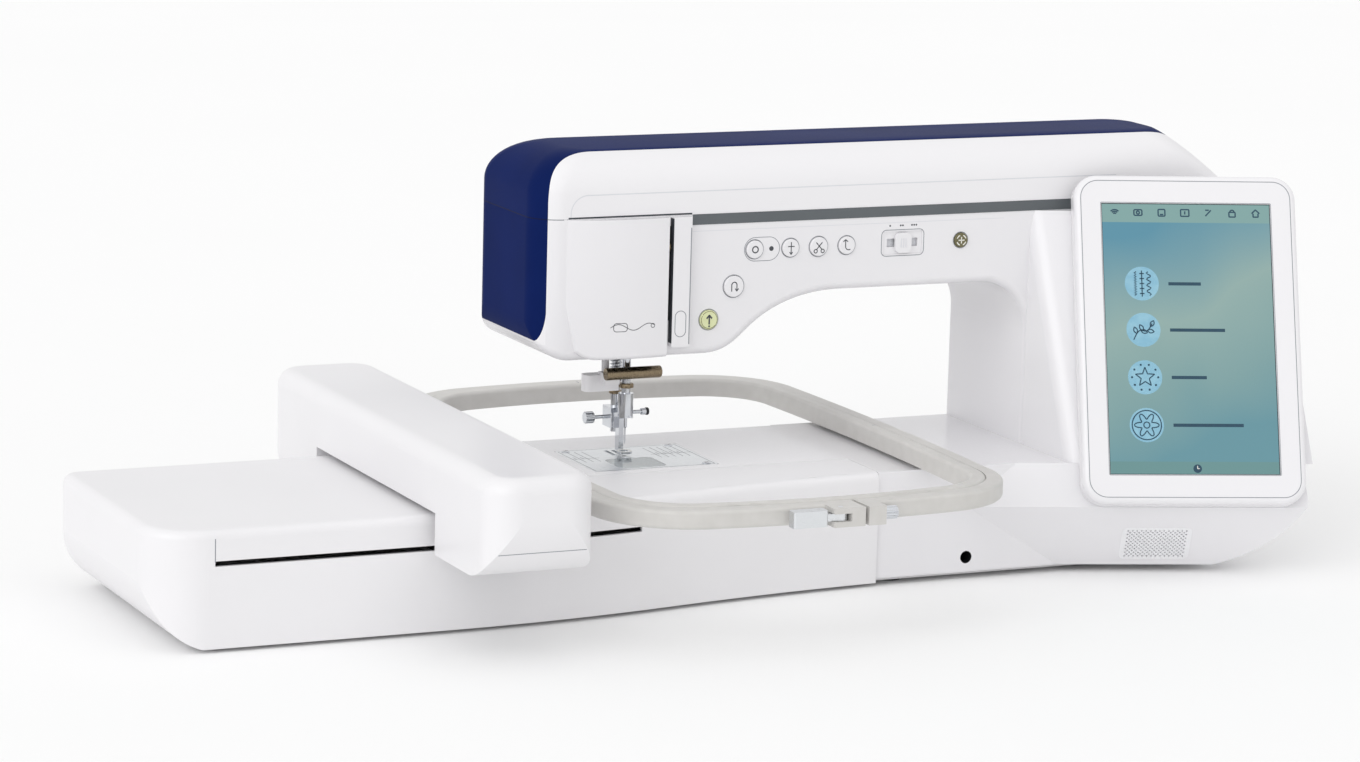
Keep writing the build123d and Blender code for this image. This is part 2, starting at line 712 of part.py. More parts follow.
# Pillar front, which carries the display
with BuildPart() as pillar_cover:
    add(wedge_block(0, PILLAR_X, BODY_RIGHT, BODY_FRONT, BED_H, DECK_H - STRIP_H))
    brow = pillar_cover.edges().filter_by_position(
        Axis.X, NEEDLE_X + PILLAR_X - RUN, NEEDLE_X + PILLAR_X + RUN).sort_by(Axis.Y)[0]
    fillet(brow, PILLAR_R)
    add(wedge_block(WALL, PILLAR_X + PILLAR_R, BODY_RIGHT - WALL, BODY_FRONT - WALL, BED_H + WALL,
                    DECK_H - STRIP_H - WALL),
        mode=Mode.SUBTRACT)
pillar_cover.part.label = "pillar_cover"
export_step(pillar_cover.part, "parts/pillar_cover.step")

# Display
with BuildPart() as display_frame:
    with BuildSketch(DISPLAY):
        RectangleRounded(FRAME_W, FRAME_H, FRAME_R)
    extrude(amount=-FRAME_T)
    out = Axis(DISPLAY.origin, DISPLAY.z_dir)
    fillet(display_frame.faces().filter_by(DISPLAY).sort_by(out)[-1].edges(), FRAME_RIM)
    fillet(display_frame.faces().filter_by(DISPLAY).sort_by(out)[0].edges(), FRAME_BACK_RIM)
    with BuildSketch(DISPLAY):
        Rectangle(LCD_W, LCD_H)
    extrude(amount=-BEZEL_T, mode=Mode.SUBTRACT)
    with BuildSketch(DISPLAY.offset(-BEZEL_T)):
        Rectangle(LCD_W + 2 * LCD_LAP, LCD_H + 2 * LCD_LAP)
    extrude(amount=-FRAME_T, mode=Mode.SUBTRACT)
display_frame.part.label = "display_frame"
export_step(display_frame.part, "parts/display_frame.step")

with BuildPart() as display_panel:
    with BuildSketch(DISPLAY.offset(-BEZEL_T)):
        Rectangle(LCD_W + 2 * LCD_LAP - SLIP, LCD_H + 2 * LCD_LAP - SLIP)
    extrude(amount=-(FRAME_T - BEZEL_T))
display_panel.part.label = "display_panel"
export_step(display_panel.part, "parts/display_panel.step")

with BuildPart() as display_glass:
    with BuildSketch(DISPLAY.offset(-BEZEL_T)):
        Rectangle(LCD_W - SLIP, LCD_H - SLIP)
    extrude(amount=BEZEL_T - GLASS_SET)
display_glass.part.label = "display_glass"
export_step(display_glass.part, "parts/display_glass.step")

# Base housing: right block, display foot and free-arm bed in one shell
UNDERCUT_UP = (INTO * -UNDERCUT + Vector(0, 0, LIP_Z - BASE_FLOOR)).normalized()
GRILLE_N = back_n(LIP_Z) + UNDERCUT * (LIP_Z - GRILLE_Z) / (LIP_Z - BASE_FLOOR)
GRILLE_FOOT = DISPLAY_ORIGIN - Vector(0, 0, DISPLAY_Z - GRILLE_Z)
GRILLE = Plane(origin=GRILLE_FOOT + INTO * GRILLE_N + ALONG * GRILLE_S,
               x_dir=ALONG, z_dir=ALONG.cross(UNDERCUT_UP))

with BuildPart() as base_housing:
    box_between(BASE_LEFT, BASE_RIGHT, BASE_FRONT, BODY_BACK, BASE_FLOOR, BED_H)
    fillet(base_housing.edges().filter_by(Axis.Z).group_by(Axis.X)[-1].sort_by(Axis.Y)[-1], PLAN_R)
    add(wedge_block(0, BASE_LEFT + WALL, BASE_RIGHT, BODY_FRONT, BASE_FLOOR, BED_H))
    with BuildSketch(front(BODY_BACK + CUT)):
        with BuildLine():
            Polyline((HULL_RIGHT, BASE_FLOOR), (BASE_LEFT - CUT, BASE_FLOOR), (BASE_LEFT - CUT, BED_H),
                     (BASE_RIGHT, BED_H), (BASE_RIGHT, HULL_RISE))
            Spline((BASE_RIGHT, HULL_RISE), (HULL_RIGHT, BASE_FLOOR), tangents=((-0.3, -1), (-1, -0.3)))
        make_face()
    extrude(amount=2 * WEDGE_DEEP, mode=Mode.INTERSECT)
    with BuildSketch(front(BODY_BACK - WALL)):
        with BuildLine():
            Polyline((BASE_LEFT + WALL, BASE_FLOOR), (BASE_LEFT + WALL, BED_H - WALL),
                     (BASE_RIGHT - 2 * WALL, BED_H - WALL), (BASE_RIGHT - 2 * WALL, HULL_RISE),
                     (HULL_RIGHT - 2 * WALL, BASE_FLOOR), close=True)
        make_face()
    extrude(amount=BODY_BACK - BASE_FRONT - 2 * WALL, mode=Mode.SUBTRACT)
    box_between(BED_LEFT, BASE_LEFT + WALL, BED_FRONT, BODY_BACK - BED_SET, BED_FLOOR, BED_H)
    box_between(BED_LEFT + WALL, BASE_LEFT + 2 * WALL, BED_FRONT + WALL, BODY_BACK - BED_SET - WALL,
                BED_FLOOR + WALL, BED_H - WALL, Mode.SUBTRACT)
    box_between(PULLEY_X - BELT_ROOM_X, PULLEY_X + BELT_W + BELT_ROOM_X,
                LOWER_Y - BELT_ROOM_FRONT, SHAFT_Y + BELT_ROOM_BACK,
                BED_H - WALL - CUT, BED_H + CUT, Mode.SUBTRACT)
    with BuildSketch(front(BASE_FRONT + KNEE_DEPTH + WALL)):
        with Locations((KNEE_X, KNEE_Z)):
            Circle(KNEE_R + WALL)
    extrude(amount=KNEE_DEPTH + WALL)
    with BuildSketch(front(BASE_FRONT + KNEE_DEPTH)):
        with Locations((KNEE_X, KNEE_Z)):
            Circle(KNEE_R)
    extrude(amount=KNEE_DEPTH + CUT, mode=Mode.SUBTRACT)
    box_between(NPLATE_X0 - RUN, NPLATE_X1 + RUN, NPLATE_Y0 - RUN, NPLATE_Y1 + RUN,
                BED_H - NPLATE_T, BED_H + CUT, Mode.SUBTRACT)
    box_between(NPLATE_X0 + LEDGE, NPLATE_X1 - LEDGE, NPLATE_Y0 + LEDGE, NPLATE_Y1 - LEDGE,
                BED_H - WALL - CUT, BED_H + CUT, Mode.SUBTRACT)
    with BuildSketch(GRILLE):
        RectangleRounded(GRILLE_W, GRILLE_H, GRILLE_R)
    extrude(amount=-GRILLE_T, mode=Mode.SUBTRACT)
    box_between(BASE_RIGHT - 3 * WALL, BASE_RIGHT + CUT, INLET_Y - INLET_W / 2, INLET_Y + INLET_W / 2,
                SOCKET_Z - INLET_H / 2, SOCKET_Z + INLET_H / 2, Mode.SUBTRACT)
    box_between(BASE_RIGHT - 3 * WALL, BASE_RIGHT + CUT,
                SWITCH_Y - SWITCH_W / 2 - SLIP, SWITCH_Y + SWITCH_W / 2 + SLIP,
                SOCKET_Z - SWITCH_H / 2 - SWITCH_ROOM, SOCKET_Z + SWITCH_H / 2 + SWITCH_ROOM, Mode.SUBTRACT)
    with BuildSketch(front(SWITCH_Y + SWITCH_W / 2 + WALL + SLIP)):
        with Locations((BASE_RIGHT - WALL, SOCKET_Z)):
            Circle(PIN_R + RUN)
    extrude(amount=SWITCH_W + 2 * WALL + 2 * SLIP, mode=Mode.SUBTRACT)
base_housing.part.label = "base_housing"
export_step(base_housing.part, "parts/base_housing.step")

with BuildPart() as base_plate:
    box_between(BASE_LEFT + WALL, HULL_RIGHT - WALL, BASE_FRONT + 2 * WALL, BODY_BACK - 2 * WALL,
                FOOT_H, BASE_FLOOR)
base_plate.part.label = "base_plate"
export_step(base_plate.part, "parts/base_plate.step")

with BuildPart() as speaker_grille:
    with BuildSketch(GRILLE):
        RectangleRounded(GRILLE_W - 2 * RUN, GRILLE_H - 2 * RUN, GRILLE_R)
        with GridLocations(GRILLE_PITCH, GRILLE_PITCH, GRILLE_NX, GRILLE_NY):
            Circle(GRILLE_HOLE, mode=Mode.SUBTRACT)
        with GridLocations(GRILLE_PITCH, GRILLE_PITCH, GRILLE_NX - 1, GRILLE_NY - 1):
            Circle(GRILLE_HOLE, mode=Mode.SUBTRACT)
    extrude(amount=-GRILLE_T)
speaker_grille.part.label = "speaker_grille"
export_step(speaker_grille.part, "parts/speaker_grille.step")

with BuildPart() as power_inlet:
    box_between(BASE_RIGHT - 5 * WALL, BASE_RIGHT, INLET_Y - INLET_W / 2, INLET_Y + INLET_W / 2,
                SOCKET_Z - INLET_H / 2, SOCKET_Z + INLET_H / 2)
    box_between(BASE_RIGHT - 4 * WALL, BASE_RIGHT + CUT,
                INLET_Y - INLET_W / 2 + INLET_RIM, INLET_Y + INLET_W / 2 - INLET_RIM,
                SOCKET_Z - INLET_H / 2 + INLET_RIM, SOCKET_Z + INLET_H / 2 - INLET_RIM, Mode.SUBTRACT)
    for pin_y in (INLET_Y - INLET_PITCH, INLET_Y, INLET_Y + INLET_PITCH):
        box_between(BASE_RIGHT - 4 * WALL - CUT, BASE_RIGHT - 3 * WALL + CUT,
                    pin_y - BLADE_W / 2, pin_y + BLADE_W / 2, SOCKET_Z - BLADE_H / 2, SOCKET_Z + BLADE_H / 2)
power_inlet.part.label = "power_inlet"
export_step(power_inlet.part, "parts/power_inlet.step")

with BuildPart() as power_switch:
    box_between(BASE_RIGHT - 2 * WALL, BASE_RIGHT + SWITCH_OUT,
                SWITCH_Y - SWITCH_W / 2, SWITCH_Y + SWITCH_W / 2,
                SOCKET_Z - SWITCH_H / 2, SOCKET_Z + SWITCH_H / 2)
    fillet(power_switch.edges().filter_by(Axis.Y).group_by(Axis.X)[-1], SWITCH_R)
    with BuildSketch(front(SWITCH_Y + SWITCH_W / 2 + WALL)):
        with Locations((BASE_RIGHT - WALL, SOCKET_Z)):
            Circle(PIN_R)
    extrude(amount=SWITCH_W + 2 * WALL)
power_switch.part.label = "power_switch"
export_step(power_switch.part, "parts/power_switch.step")

# Needle plate with its feed slots, needle hole and bobbin window
with BuildPart() as needle_plate:
    box_between(NPLATE_X0, NPLATE_X1, NPLATE_Y0, NPLATE_Y1, BED_H - NPLATE_T, BED_H)
    fillet(needle_plate.edges().filter_by(Axis.Z), NPLATE_R)
    with BuildSketch(level(BED_H)):
        Circle(NEEDLE_HOLE)
        with Locations((0, FEED_Y)):
            with GridLocations(FEED_PITCH, 1, 3, 1):
                Rectangle(FEED_W + 2 * SLIP, FEED_L + 2 * SLIP)
        with Locations((BOBBIN_X, HOOK_Y - BOBBIN_SET)):
            RectangleRounded(BOBBIN_W, BOBBIN_D, BOBBIN_CORNER)
    extrude(amount=-NPLATE_T, mode=Mode.SUBTRACT)
needle_plate.part.label = "needle_plate"
export_step(needle_plate.part, "parts/needle_plate.step")

with BuildPart() as bobbin_cover:
    with BuildSketch(level(BED_H)):
        with Locations((BOBBIN_X, HOOK_Y - BOBBIN_SET)):
            RectangleRounded(BOBBIN_W - 2 * RUN, BOBBIN_D - 2 * RUN, BOBBIN_CORNER)
    extrude(amount=-NPLATE_T)
bobbin_cover.part.label = "bobbin_cover"
export_step(bobbin_cover.part, "parts/bobbin_cover.step")

# Feed dog: three toothed bars on a block, with a stem in its guide post
with BuildPart() as feed_dog:
    box_between(-FEED_PITCH - FEED_SIDE, FEED_PITCH + FEED_SIDE, FEED_Y - FEED_L / 2, FEED_Y + FEED_L / 2,
                FEED_BLOCK, FEED_BLOCK + FEED_BLOCK_H)
    for bar_x in (-FEED_PITCH, 0, FEED_PITCH):
        box_between(bar_x - FEED_W / 2, bar_x + FEED_W / 2, FEED_Y - FEED_L / 2, FEED_Y + FEED_L / 2,
                    FEED_BLOCK + FEED_BLOCK_H - CUT, BED_H - FEED_DROP)
    with BuildSketch(level(FEED_STEM_Z)):
        with Locations((0, FEED_Y)):
            Circle(STEM / 2)
    extrude(amount=FEED_BLOCK + CUT - FEED_STEM_Z)
feed_dog.part.label = "feed_dog"
export_step(feed_dog.part, "parts/feed_dog.step")

# Casting inside the arm: beam, three bearing uprights and the guides of the bars.
# The posts on the floor carry the lower shaft, the hook shaft and the feed stem.
BEAM_Z = ARM_UNDER + WALL
BEAM_TOP = BEAM_Z + BEAM_H
with BuildPart() as machine_frame:
    box_between(BEAM_X0, BEAM_X1, BEAM_Y, BEAM_Y + BEAM_D, BEAM_Z, BEAM_TOP)
    for bearing_x in BEARING_XS:
        box_between(bearing_x, bearing_x + BEARING_W, SHAFT_Y - 2 * SHAFT_R, BEAM_Y + BEAM_D,
                    BEAM_Z, SHAFT_Z + 2 * SHAFT_R)
    box_between(BEARING_XS[0], BEARING_XS[0] + BEARING_W, TAKE_Y - LEVER_EAR, SHAFT_Y,
                TAKE_Z - LEVER_EAR, TAKE_Z + LEVER_EAR)
    box_between(-GUIDE_W, GUIDE_W, BEAM_Y - LEVER_EAR, BEAM_Y + BEAM_LAP, GUIDE_LOW, BEAM_TOP)
    for guide_z in (GUIDE_LOW, BEAM_Z):
        box_between(-GUIDE_W, GUIDE_W, -GUIDE_W, BEAM_Y, guide_z, guide_z + GUIDE_H)
    box_between(THREADER_X - STEM, 0, THREADER_Y - STEM, THREADER_Y + STEM, GUIDE_LOW, GUIDE_LOW + GUIDE_H)
    box_between(-GUIDE_W, LEVER_X + LEVER_W / 2 + SLIP + LEVER_EAR, BEAM_Y - LEVER_EAR, BEAM_Y + BEAM_LAP,
                LEVER_Z - LEVER_EAR, LEVER_Z + LEVER_EAR)
    for ear_x in (LEVER_X - LEVER_W / 2 - SLIP - LEVER_EAR, LEVER_X + LEVER_W / 2 + SLIP):
        box_between(ear_x, ear_x + LEVER_EAR, BEAM_Y, LEVER_Y + LEVER_EAR,
                    LEVER_Z - LEVER_EAR, LEVER_Z + LEVER_EAR)
    with BuildSketch(side(BEAM_X0)):
        with Locations((SHAFT_Y, SHAFT_Z)):
            Circle(SHAFT_R + RUN)
        with Locations((TAKE_Y, TAKE_Z), (LEVER_Y, LEVER_Z)):
            Circle(PIN_R + RUN)
    extrude(amount=BEAM_X1 - BEAM_X0 + BEARING_W, mode=Mode.SUBTRACT)
    with BuildSketch(level(GUIDE_LOW - CUT)):
        with Locations((0, 0), (0, PRESSER_Y)):
            Circle(BAR_R + RUN)
        with Locations((THREADER_X, THREADER_Y)):
            Circle(STEM / 2 + RUN)
    extrude(amount=DECK_H - GUIDE_LOW, mode=Mode.SUBTRACT)
    for bearing_x, floor in ((LOWER_POST_X, BED_FLOOR + WALL), (LOWER_POST_X2, BASE_FLOOR)):
        box_between(bearing_x, bearing_x + BEARING_W, LOWER_Y - 2 * LOWER_R, LOWER_Y + 2 * LOWER_R,
                    floor, LOWER_Z + 2 * LOWER_R)
    with BuildSketch(side(LOWER_POST_X - CUT)):
        with Locations((LOWER_Y, LOWER_Z)):
            Circle(LOWER_R + RUN)
    extrude(amount=LOWER_POST_X2, mode=Mode.SUBTRACT)
    box_between(-2 * HOOK_SHAFT_R, 2 * HOOK_SHAFT_R,
                HOOK_Y - 2 * HOOK_SHAFT_R, HOOK_Y + HOOK_SHAFT_R + HOOK_POST,
                BED_FLOOR + WALL, LOWER_Z - STEM)
    box_between(-STEM, STEM, FEED_Y - STEM, FEED_Y + STEM, BED_FLOOR + WALL, FEED_BLOCK - FEED_LIFT)
    with BuildSketch(level(BED_FLOOR + WALL + SEAT_H)):
        with Locations((0, HOOK_Y)):
            Circle(HOOK_SHAFT_R + RUN)
        with Locations((0, FEED_Y)):
            Circle(STEM / 2 + RUN)
    extrude(amount=LOWER_Z, mode=Mode.SUBTRACT)
machine_frame.part.label = "machine_frame"
export_step(machine_frame.part, "parts/machine_frame.step")

# Main shaft with crank disc and upper pulley, turned by the handwheel
with BuildPart() as main_shaft:
    with BuildSketch(side(CRANK_X)):
        with Locations((SHAFT_Y, SHAFT_Z)):
            Circle(SHAFT_R)
    extrude(amount=BODY_RIGHT + WHEEL_GAP + WHEEL_T - CRANK_X)
    with BuildSketch(side(CRANK_X)):
        with Locations((SHAFT_Y, SHAFT_Z)):
            Circle(CRANK_R)
    extrude(amount=CRANK_T)
    with BuildSketch(side(PULLEY_X)):
        with Locations((SHAFT_Y, SHAFT_Z)):
            Circle(PULLEY_R)
    extrude(amount=BELT_W)
main_shaft.part.label = "main_shaft"
export_step(main_shaft.part, "parts/main_shaft.step")

with BuildPart() as handwheel:
    with BuildSketch(side(BODY_RIGHT + WHEEL_GAP)):
        with Locations((SHAFT_Y, SHAFT_Z)):
            Circle(WHEEL_R)
            Circle(SHAFT_R + RUN, mode=Mode.SUBTRACT)
    extrude(amount=WHEEL_T)
    with BuildSketch(side(BODY_RIGHT + WHEEL_GAP)):
        with Locations((SHAFT_Y, SHAFT_Z)):
            with PolarLocations(WHEEL_R + WHEEL_GRIP_OUT, WHEEL_GRIPS):
                Circle(WHEEL_GRIP_R)
    extrude(amount=WHEEL_T, mode=Mode.SUBTRACT)
    fillet(handwheel.faces().sort_by(Axis.X)[-1].outer_wire().edges(), WHEEL_RIM)
handwheel.part.label = "handwheel"
export_step(handwheel.part, "parts/handwheel.step")

with BuildPart() as timing_belt:
    with BuildSketch(side(PULLEY_X + RUN)):
        with Locations((SHAFT_Y, SHAFT_Z), (LOWER_Y, LOWER_Z)):
            Circle(PULLEY_R + RUN + BELT_T)
        make_hull()
    extrude(amount=BELT_W - 2 * RUN)
    with BuildSketch(side(PULLEY_X)):
        with Locations((SHAFT_Y, SHAFT_Z), (LOWER_Y, LOWER_Z)):
            Circle(PULLEY_R + RUN)
        make_hull()
    extrude(amount=BELT_W, mode=Mode.SUBTRACT)
timing_belt.part.label = "timing_belt"
export_step(timing_belt.part, "parts/timing_belt.step")

with BuildPart() as lower_shaft:
    with BuildSketch(side(-GEAR_W - BEARING_W / 2)):
        with Locations((LOWER_Y, LOWER_Z)):
            Circle(LOWER_R)
    extrude(amount=PULLEY_X + BELT_W + GEAR_W + BEARING_W)
    with BuildSketch(side(-GEAR_W / 2)):
        with Locations((LOWER_Y, LOWER_Z)):
            Circle(GEAR_R - SLIP)
    extrude(amount=GEAR_W)
    with BuildSketch(side(PULLEY_X)):
        with Locations((LOWER_Y, LOWER_Z)):
            Circle(PULLEY_R)
    extrude(amount=BELT_W)
lower_shaft.part.label = "lower_shaft"
export_step(lower_shaft.part, "parts/lower_shaft.step")

# Rotary hook on its upright shaft, with bobbin case and bobbin inside
HOOK_GEAR_R = LOWER_Y - HOOK_Y - GEAR_R
with BuildPart() as rotary_hook:
    with BuildSketch(level(BED_FLOOR + WALL + SEAT_H + HOOK_POST)):
        with Locations((0, HOOK_Y)):
            Circle(HOOK_SHAFT_R)
    extrude(amount=HOOK_Z - BED_FLOOR - WALL - SEAT_H)
    with BuildSketch(level(LOWER_Z - GEAR_W / 2)):
        with Locations((0, HOOK_Y)):
            Circle(HOOK_GEAR_R - SLIP)
    extrude(amount=GEAR_W)
    with BuildSketch(level(HOOK_Z)):
        with Locations((0, HOOK_Y)):
            Circle(HOOK_R)
    extrude(amount=HOOK_H)
    with BuildSketch(level(HOOK_Z + WALL)):
        with Locations((0, HOOK_Y)):
            Circle(HOOK_R - WALL)
    extrude(amount=HOOK_H, mode=Mode.SUBTRACT)
rotary_hook.part.label = "rotary_hook"
export_step(rotary_hook.part, "parts/rotary_hook.step")

with BuildPart() as bobbin_case:
    with BuildSketch(level(HOOK_Z + WALL + SLIP)):
        with Locations((0, HOOK_Y)):
            Circle(HOOK_R - WALL - SLIP)
    extrude(amount=HOOK_H - CUT)
    with BuildSketch(level(HOOK_Z + WALL + SLIP + SEAT_H)):
        with Locations((0, HOOK_Y)):
            Circle(BOBBIN_R + SLIP)
    extrude(amount=HOOK_H, mode=Mode.SUBTRACT)
bobbin_case.part.label = "bobbin_case"
export_step(bobbin_case.part, "parts/bobbin_case.step")

with BuildPart() as bobbin:
    with BuildSketch(level(HOOK_Z + WALL + 2 * SLIP + SEAT_H)):
        with Locations((0, HOOK_Y)):
            Circle(BOBBIN_R)
            Circle(STEM / 2, mode=Mode.SUBTRACT)
    extrude(amount=BOBBIN_H)
    with BuildSketch(level(HOOK_Z + WALL + 2 * SLIP + SEAT_H + BOBBIN_WALL)):
        with Locations((0, HOOK_Y)):
            Circle(BOBBIN_R)
            Circle(STEM, mode=Mode.SUBTRACT)
    extrude(amount=BOBBIN_H - 2 * BOBBIN_WALL, mode=Mode.SUBTRACT)
bobbin.part.label = "bobbin"
export_step(bobbin.part, "parts/bobbin.step")

# Feet
with BuildPart() as feet:
    with BuildSketch(level(0)):
        with Locations(*FEET):
            Circle(FOOT_R)
    extrude(amount=FOOT_H)
feet.part.label = "feet"
export_step(feet.part, "parts/feet.step")

# Take-up lever in the slit beside the face cover, on its own pin
with BuildPart() as take_up_lever:
    box_between(GAP_X0 + TAKE_SIDE, GAP_X1 - TAKE_SIDE, BODY_FRONT - TAKE_OUT, TAKE_Y + TAKE_TAIL,
                TAKE_Z - TAKE_H, TAKE_Z + TAKE_H)
    fillet(take_up_lever.edges().filter_by(Axis.X), TAKE_H * 0.9)
    with BuildSketch(side(GAP_X0 + TAKE_SIDE)):
        with Locations((BODY_FRONT - TAKE_OUT + TAKE_H, TAKE_Z)):
            Circle(TAKE_EYE)
    extrude(amount=GAP_X1, mode=Mode.SUBTRACT)
    with BuildSketch(side(GAP_X0 + TAKE_SIDE)):
        with Locations((TAKE_Y, TAKE_Z)):
            Circle(PIN_R)
    extrude(amount=BEARING_XS[0] + BEARING_W - GAP_X0 - TAKE_SIDE)
take_up_lever.part.label = "take_up_lever"
export_step(take_up_lever.part, "parts/take_up_lever.step")

# Needle bar, clamp with its screw, and needle
with BuildPart() as needle_bar:
    with BuildSketch(level(NEEDLE_BAR_END)):
        Circle(BAR_R)
    extrude(amount=NEEDLE_BAR_TOP - NEEDLE_BAR_END)
needle_bar.part.label = "needle_bar"
export_step(needle_bar.part, "parts/needle_bar.step")

with BuildPart() as needle_clamp:
    with BuildSketch(level(NEEDLE_BAR_END - NCLAMP_LOW)):
        Circle(NCLAMP_R)
    extrude(amount=NCLAMP_H)
    with BuildSketch(level(NEEDLE_BAR_END)):
        Circle(BAR_R + RUN)
    extrude(amount=NCLAMP_H, mode=Mode.SUBTRACT)
    with BuildSketch(level(NEEDLE_BAR_END)):
        Circle(SHANK_R + RUN)
    extrude(amount=-NCLAMP_H, mode=Mode.SUBTRACT)
    with BuildSketch(side(SHANK_R)):
        with Locations((0, NEEDLE_BAR_END - NCLAMP_LOW / 2)):
            Circle(PIN_R + RUN)
    extrude(amount=NCLAMP_R, mode=Mode.SUBTRACT)
needle_clamp.part.label = "needle_clamp"
export_step(needle_clamp.part, "parts/needle_clamp.step")

with BuildPart() as clamp_screw:
    with BuildSketch(side(SHANK_R + SLIP)):
        with Locations((0, NEEDLE_BAR_END - NCLAMP_LOW / 2)):
            Circle(PIN_R)
    extrude(amount=NSCREW_L)
    with BuildSketch(side(SHANK_R + SLIP + NSCREW_L)):
        with Locations((0, NEEDLE_BAR_END - NCLAMP_LOW / 2)):
            Circle(NSCREW_R)
    extrude(amount=-NSCREW_HEAD)
clamp_screw.part.label = "clamp_screw"
export_step(clamp_screw.part, "parts/clamp_screw.step")

with BuildPart() as needle:
    with BuildSketch(side(0)):
        with BuildLine():
            Polyline((0, NEEDLE_TIP), (NEEDLE_R, NEEDLE_TIP + NEEDLE_POINT), (NEEDLE_R, SHANK_END),
                     (SHANK_R, SHANK_END + SHANK_R), (SHANK_R, NEEDLE_BAR_END - SLIP),
                     (0, NEEDLE_BAR_END - SLIP), close=True)
        make_face()
    revolve(axis=Axis((NEEDLE_X, NEEDLE_Y, 0), (0, 0, 1)))
needle.part.label = "needle"
export_step(needle.part, "parts/needle.step")

# Presser bar with the embroidery foot and its thumb screw
FOOT_BLOCK_Z = HOOP_Z + HOOP_H + HOOP_RISE + FOOT_CLEAR
FOOT_SCREW_Z = FOOT_BLOCK_Z + FOOT_BLOCK_H / 2
with BuildPart() as presser_bar:
    with BuildSketch(level(PRESSER_END)):
        with Locations((0, PRESSER_Y)):
            Circle(BAR_R)
    extrude(amount=PRESSER_TOP - PRESSER_END)
presser_bar.part.label = "presser_bar"
export_step(presser_bar.part, "parts/presser_bar.step")

with BuildPart() as embroidery_foot:
    box_between(-FOOT_BLOCK_W, FOOT_BLOCK_W, PRESSER_Y - FOOT_BLOCK_D, PRESSER_Y + FOOT_BLOCK_D,
                FOOT_BLOCK_Z, FOOT_BLOCK_Z + FOOT_BLOCK_H)
    box_between(-FOOT_ROD, FOOT_ROD, FOOT_RING_R + FOOT_LAP, PRESSER_Y - FOOT_BLOCK_D + FOOT_ROD,
                BED_H + FOOT_OVER, FOOT_BLOCK_Z + FOOT_BLOCK_H / 2)
    box_between(-FOOT_ROD, FOOT_ROD, FOOT_RING_R - FOOT_LAP, FOOT_RING_R + 2 * FOOT_LAP, BED_H + FOOT_OVER,
                BED_H + FOOT_OVER + FOOT_RING_T)
    with BuildSketch(level(BED_H + FOOT_OVER)):
        Circle(FOOT_RING_R)
    extrude(amount=FOOT_RING_T)
    with BuildSketch(level(BED_H + FOOT_OVER)):
        Circle(FOOT_RING_R / 2)
    extrude(amount=FOOT_RING_T, mode=Mode.SUBTRACT)
    with BuildSketch(level(FOOT_BLOCK_Z)):
        with Locations((0, PRESSER_Y)):
            Circle(BAR_R + RUN)
    extrude(amount=FOOT_BLOCK_H, mode=Mode.SUBTRACT)
    with BuildSketch(side(-FOOT_BLOCK_W)):
        with Locations((PRESSER_Y, FOOT_SCREW_Z)):
            Circle(PIN_R + RUN)
    extrude(amount=FOOT_BLOCK_W, mode=Mode.SUBTRACT)
embroidery_foot.part.label = "embroidery_foot"
export_step(embroidery_foot.part, "parts/embroidery_foot.step")

with BuildPart() as foot_screw:
    with BuildSketch(side(-BAR_R - SLIP)):
        with Locations((PRESSER_Y, FOOT_SCREW_Z)):
            Circle(PIN_R)
    extrude(amount=-FOOT_SCREW_L)
    with BuildSketch(side(-BAR_R - SLIP - FOOT_SCREW_L)):
        with Locations((PRESSER_Y, FOOT_SCREW_Z)):
            Circle(FOOT_SCREW_R)
            with PolarLocations(FOOT_SCREW_R + KNURL_OUT, KNURLS):
                Circle(KNURL_R, mode=Mode.SUBTRACT)
    extrude(amount=FOOT_SCREW_HEAD)
foot_screw.part.label = "foot_screw"
export_step(foot_screw.part, "parts/foot_screw.step")

# Needle threader: guide rod, bracket and the roller in front of the needle bar
with BuildPart() as threader:
    with BuildSketch(level(THREADER_Z + CUT)):
        with Locations((THREADER_X, THREADER_Y)):
            Circle(STEM / 2)
    extrude(amount=THREADER_TOP - THREADER_Z - CUT)
    box_between(THREADER_X - THREADER_W, -NCLAMP_R - FOOT_CLEAR, THREADER_Y - STEM, THREADER_Y + STEM,
                THREADER_Z, THREADER_Z + THREADER_H)
    fillet(threader.edges().filter_by(Axis.Z).group_by(Axis.X)[0], STEM * 0.8)
    box_between(THREADER_X - STEM, THREADER_X + STEM, ROLLER_Y, THREADER_Y,
                THREADER_Z + THREADER_H / 2, ROLLER_Z)
    with BuildSketch(side(THREADER_X - STEM)):
        with Locations((ROLLER_Y, ROLLER_Z)):
            Circle(ROLLER_R)
    extrude(amount=ROLLER_L)
threader.part.label = "threader"
export_step(threader.part, "parts/threader.step")

# Push buttons: each has a rim behind the wall that keeps it in
for button_name, (spot_x, spot_z, spot_d) in BUTTONS.items():
    with BuildPart() as button:
        with BuildSketch(front(BODY_FRONT - BUTTON_OUT)):
            with Locations((spot_x, spot_z)):
                Circle(spot_d / 2)
        extrude(amount=-(BUTTON_OUT + WALL + BUTTON_TAIL))
        fillet(button.faces().sort_by(Axis.Y)[0].edges(), BUTTON_OUT / 2)
        with BuildSketch(front(BODY_FRONT + WALL + SLIP)):
            with Locations((spot_x, spot_z)):
                Circle(spot_d / 2 + BUTTON_RIM)
        extrude(amount=-(BUTTON_TAIL - SLIP))
    button.part.label = button_name
    export_step(button.part, "parts/" + button_name + ".step")

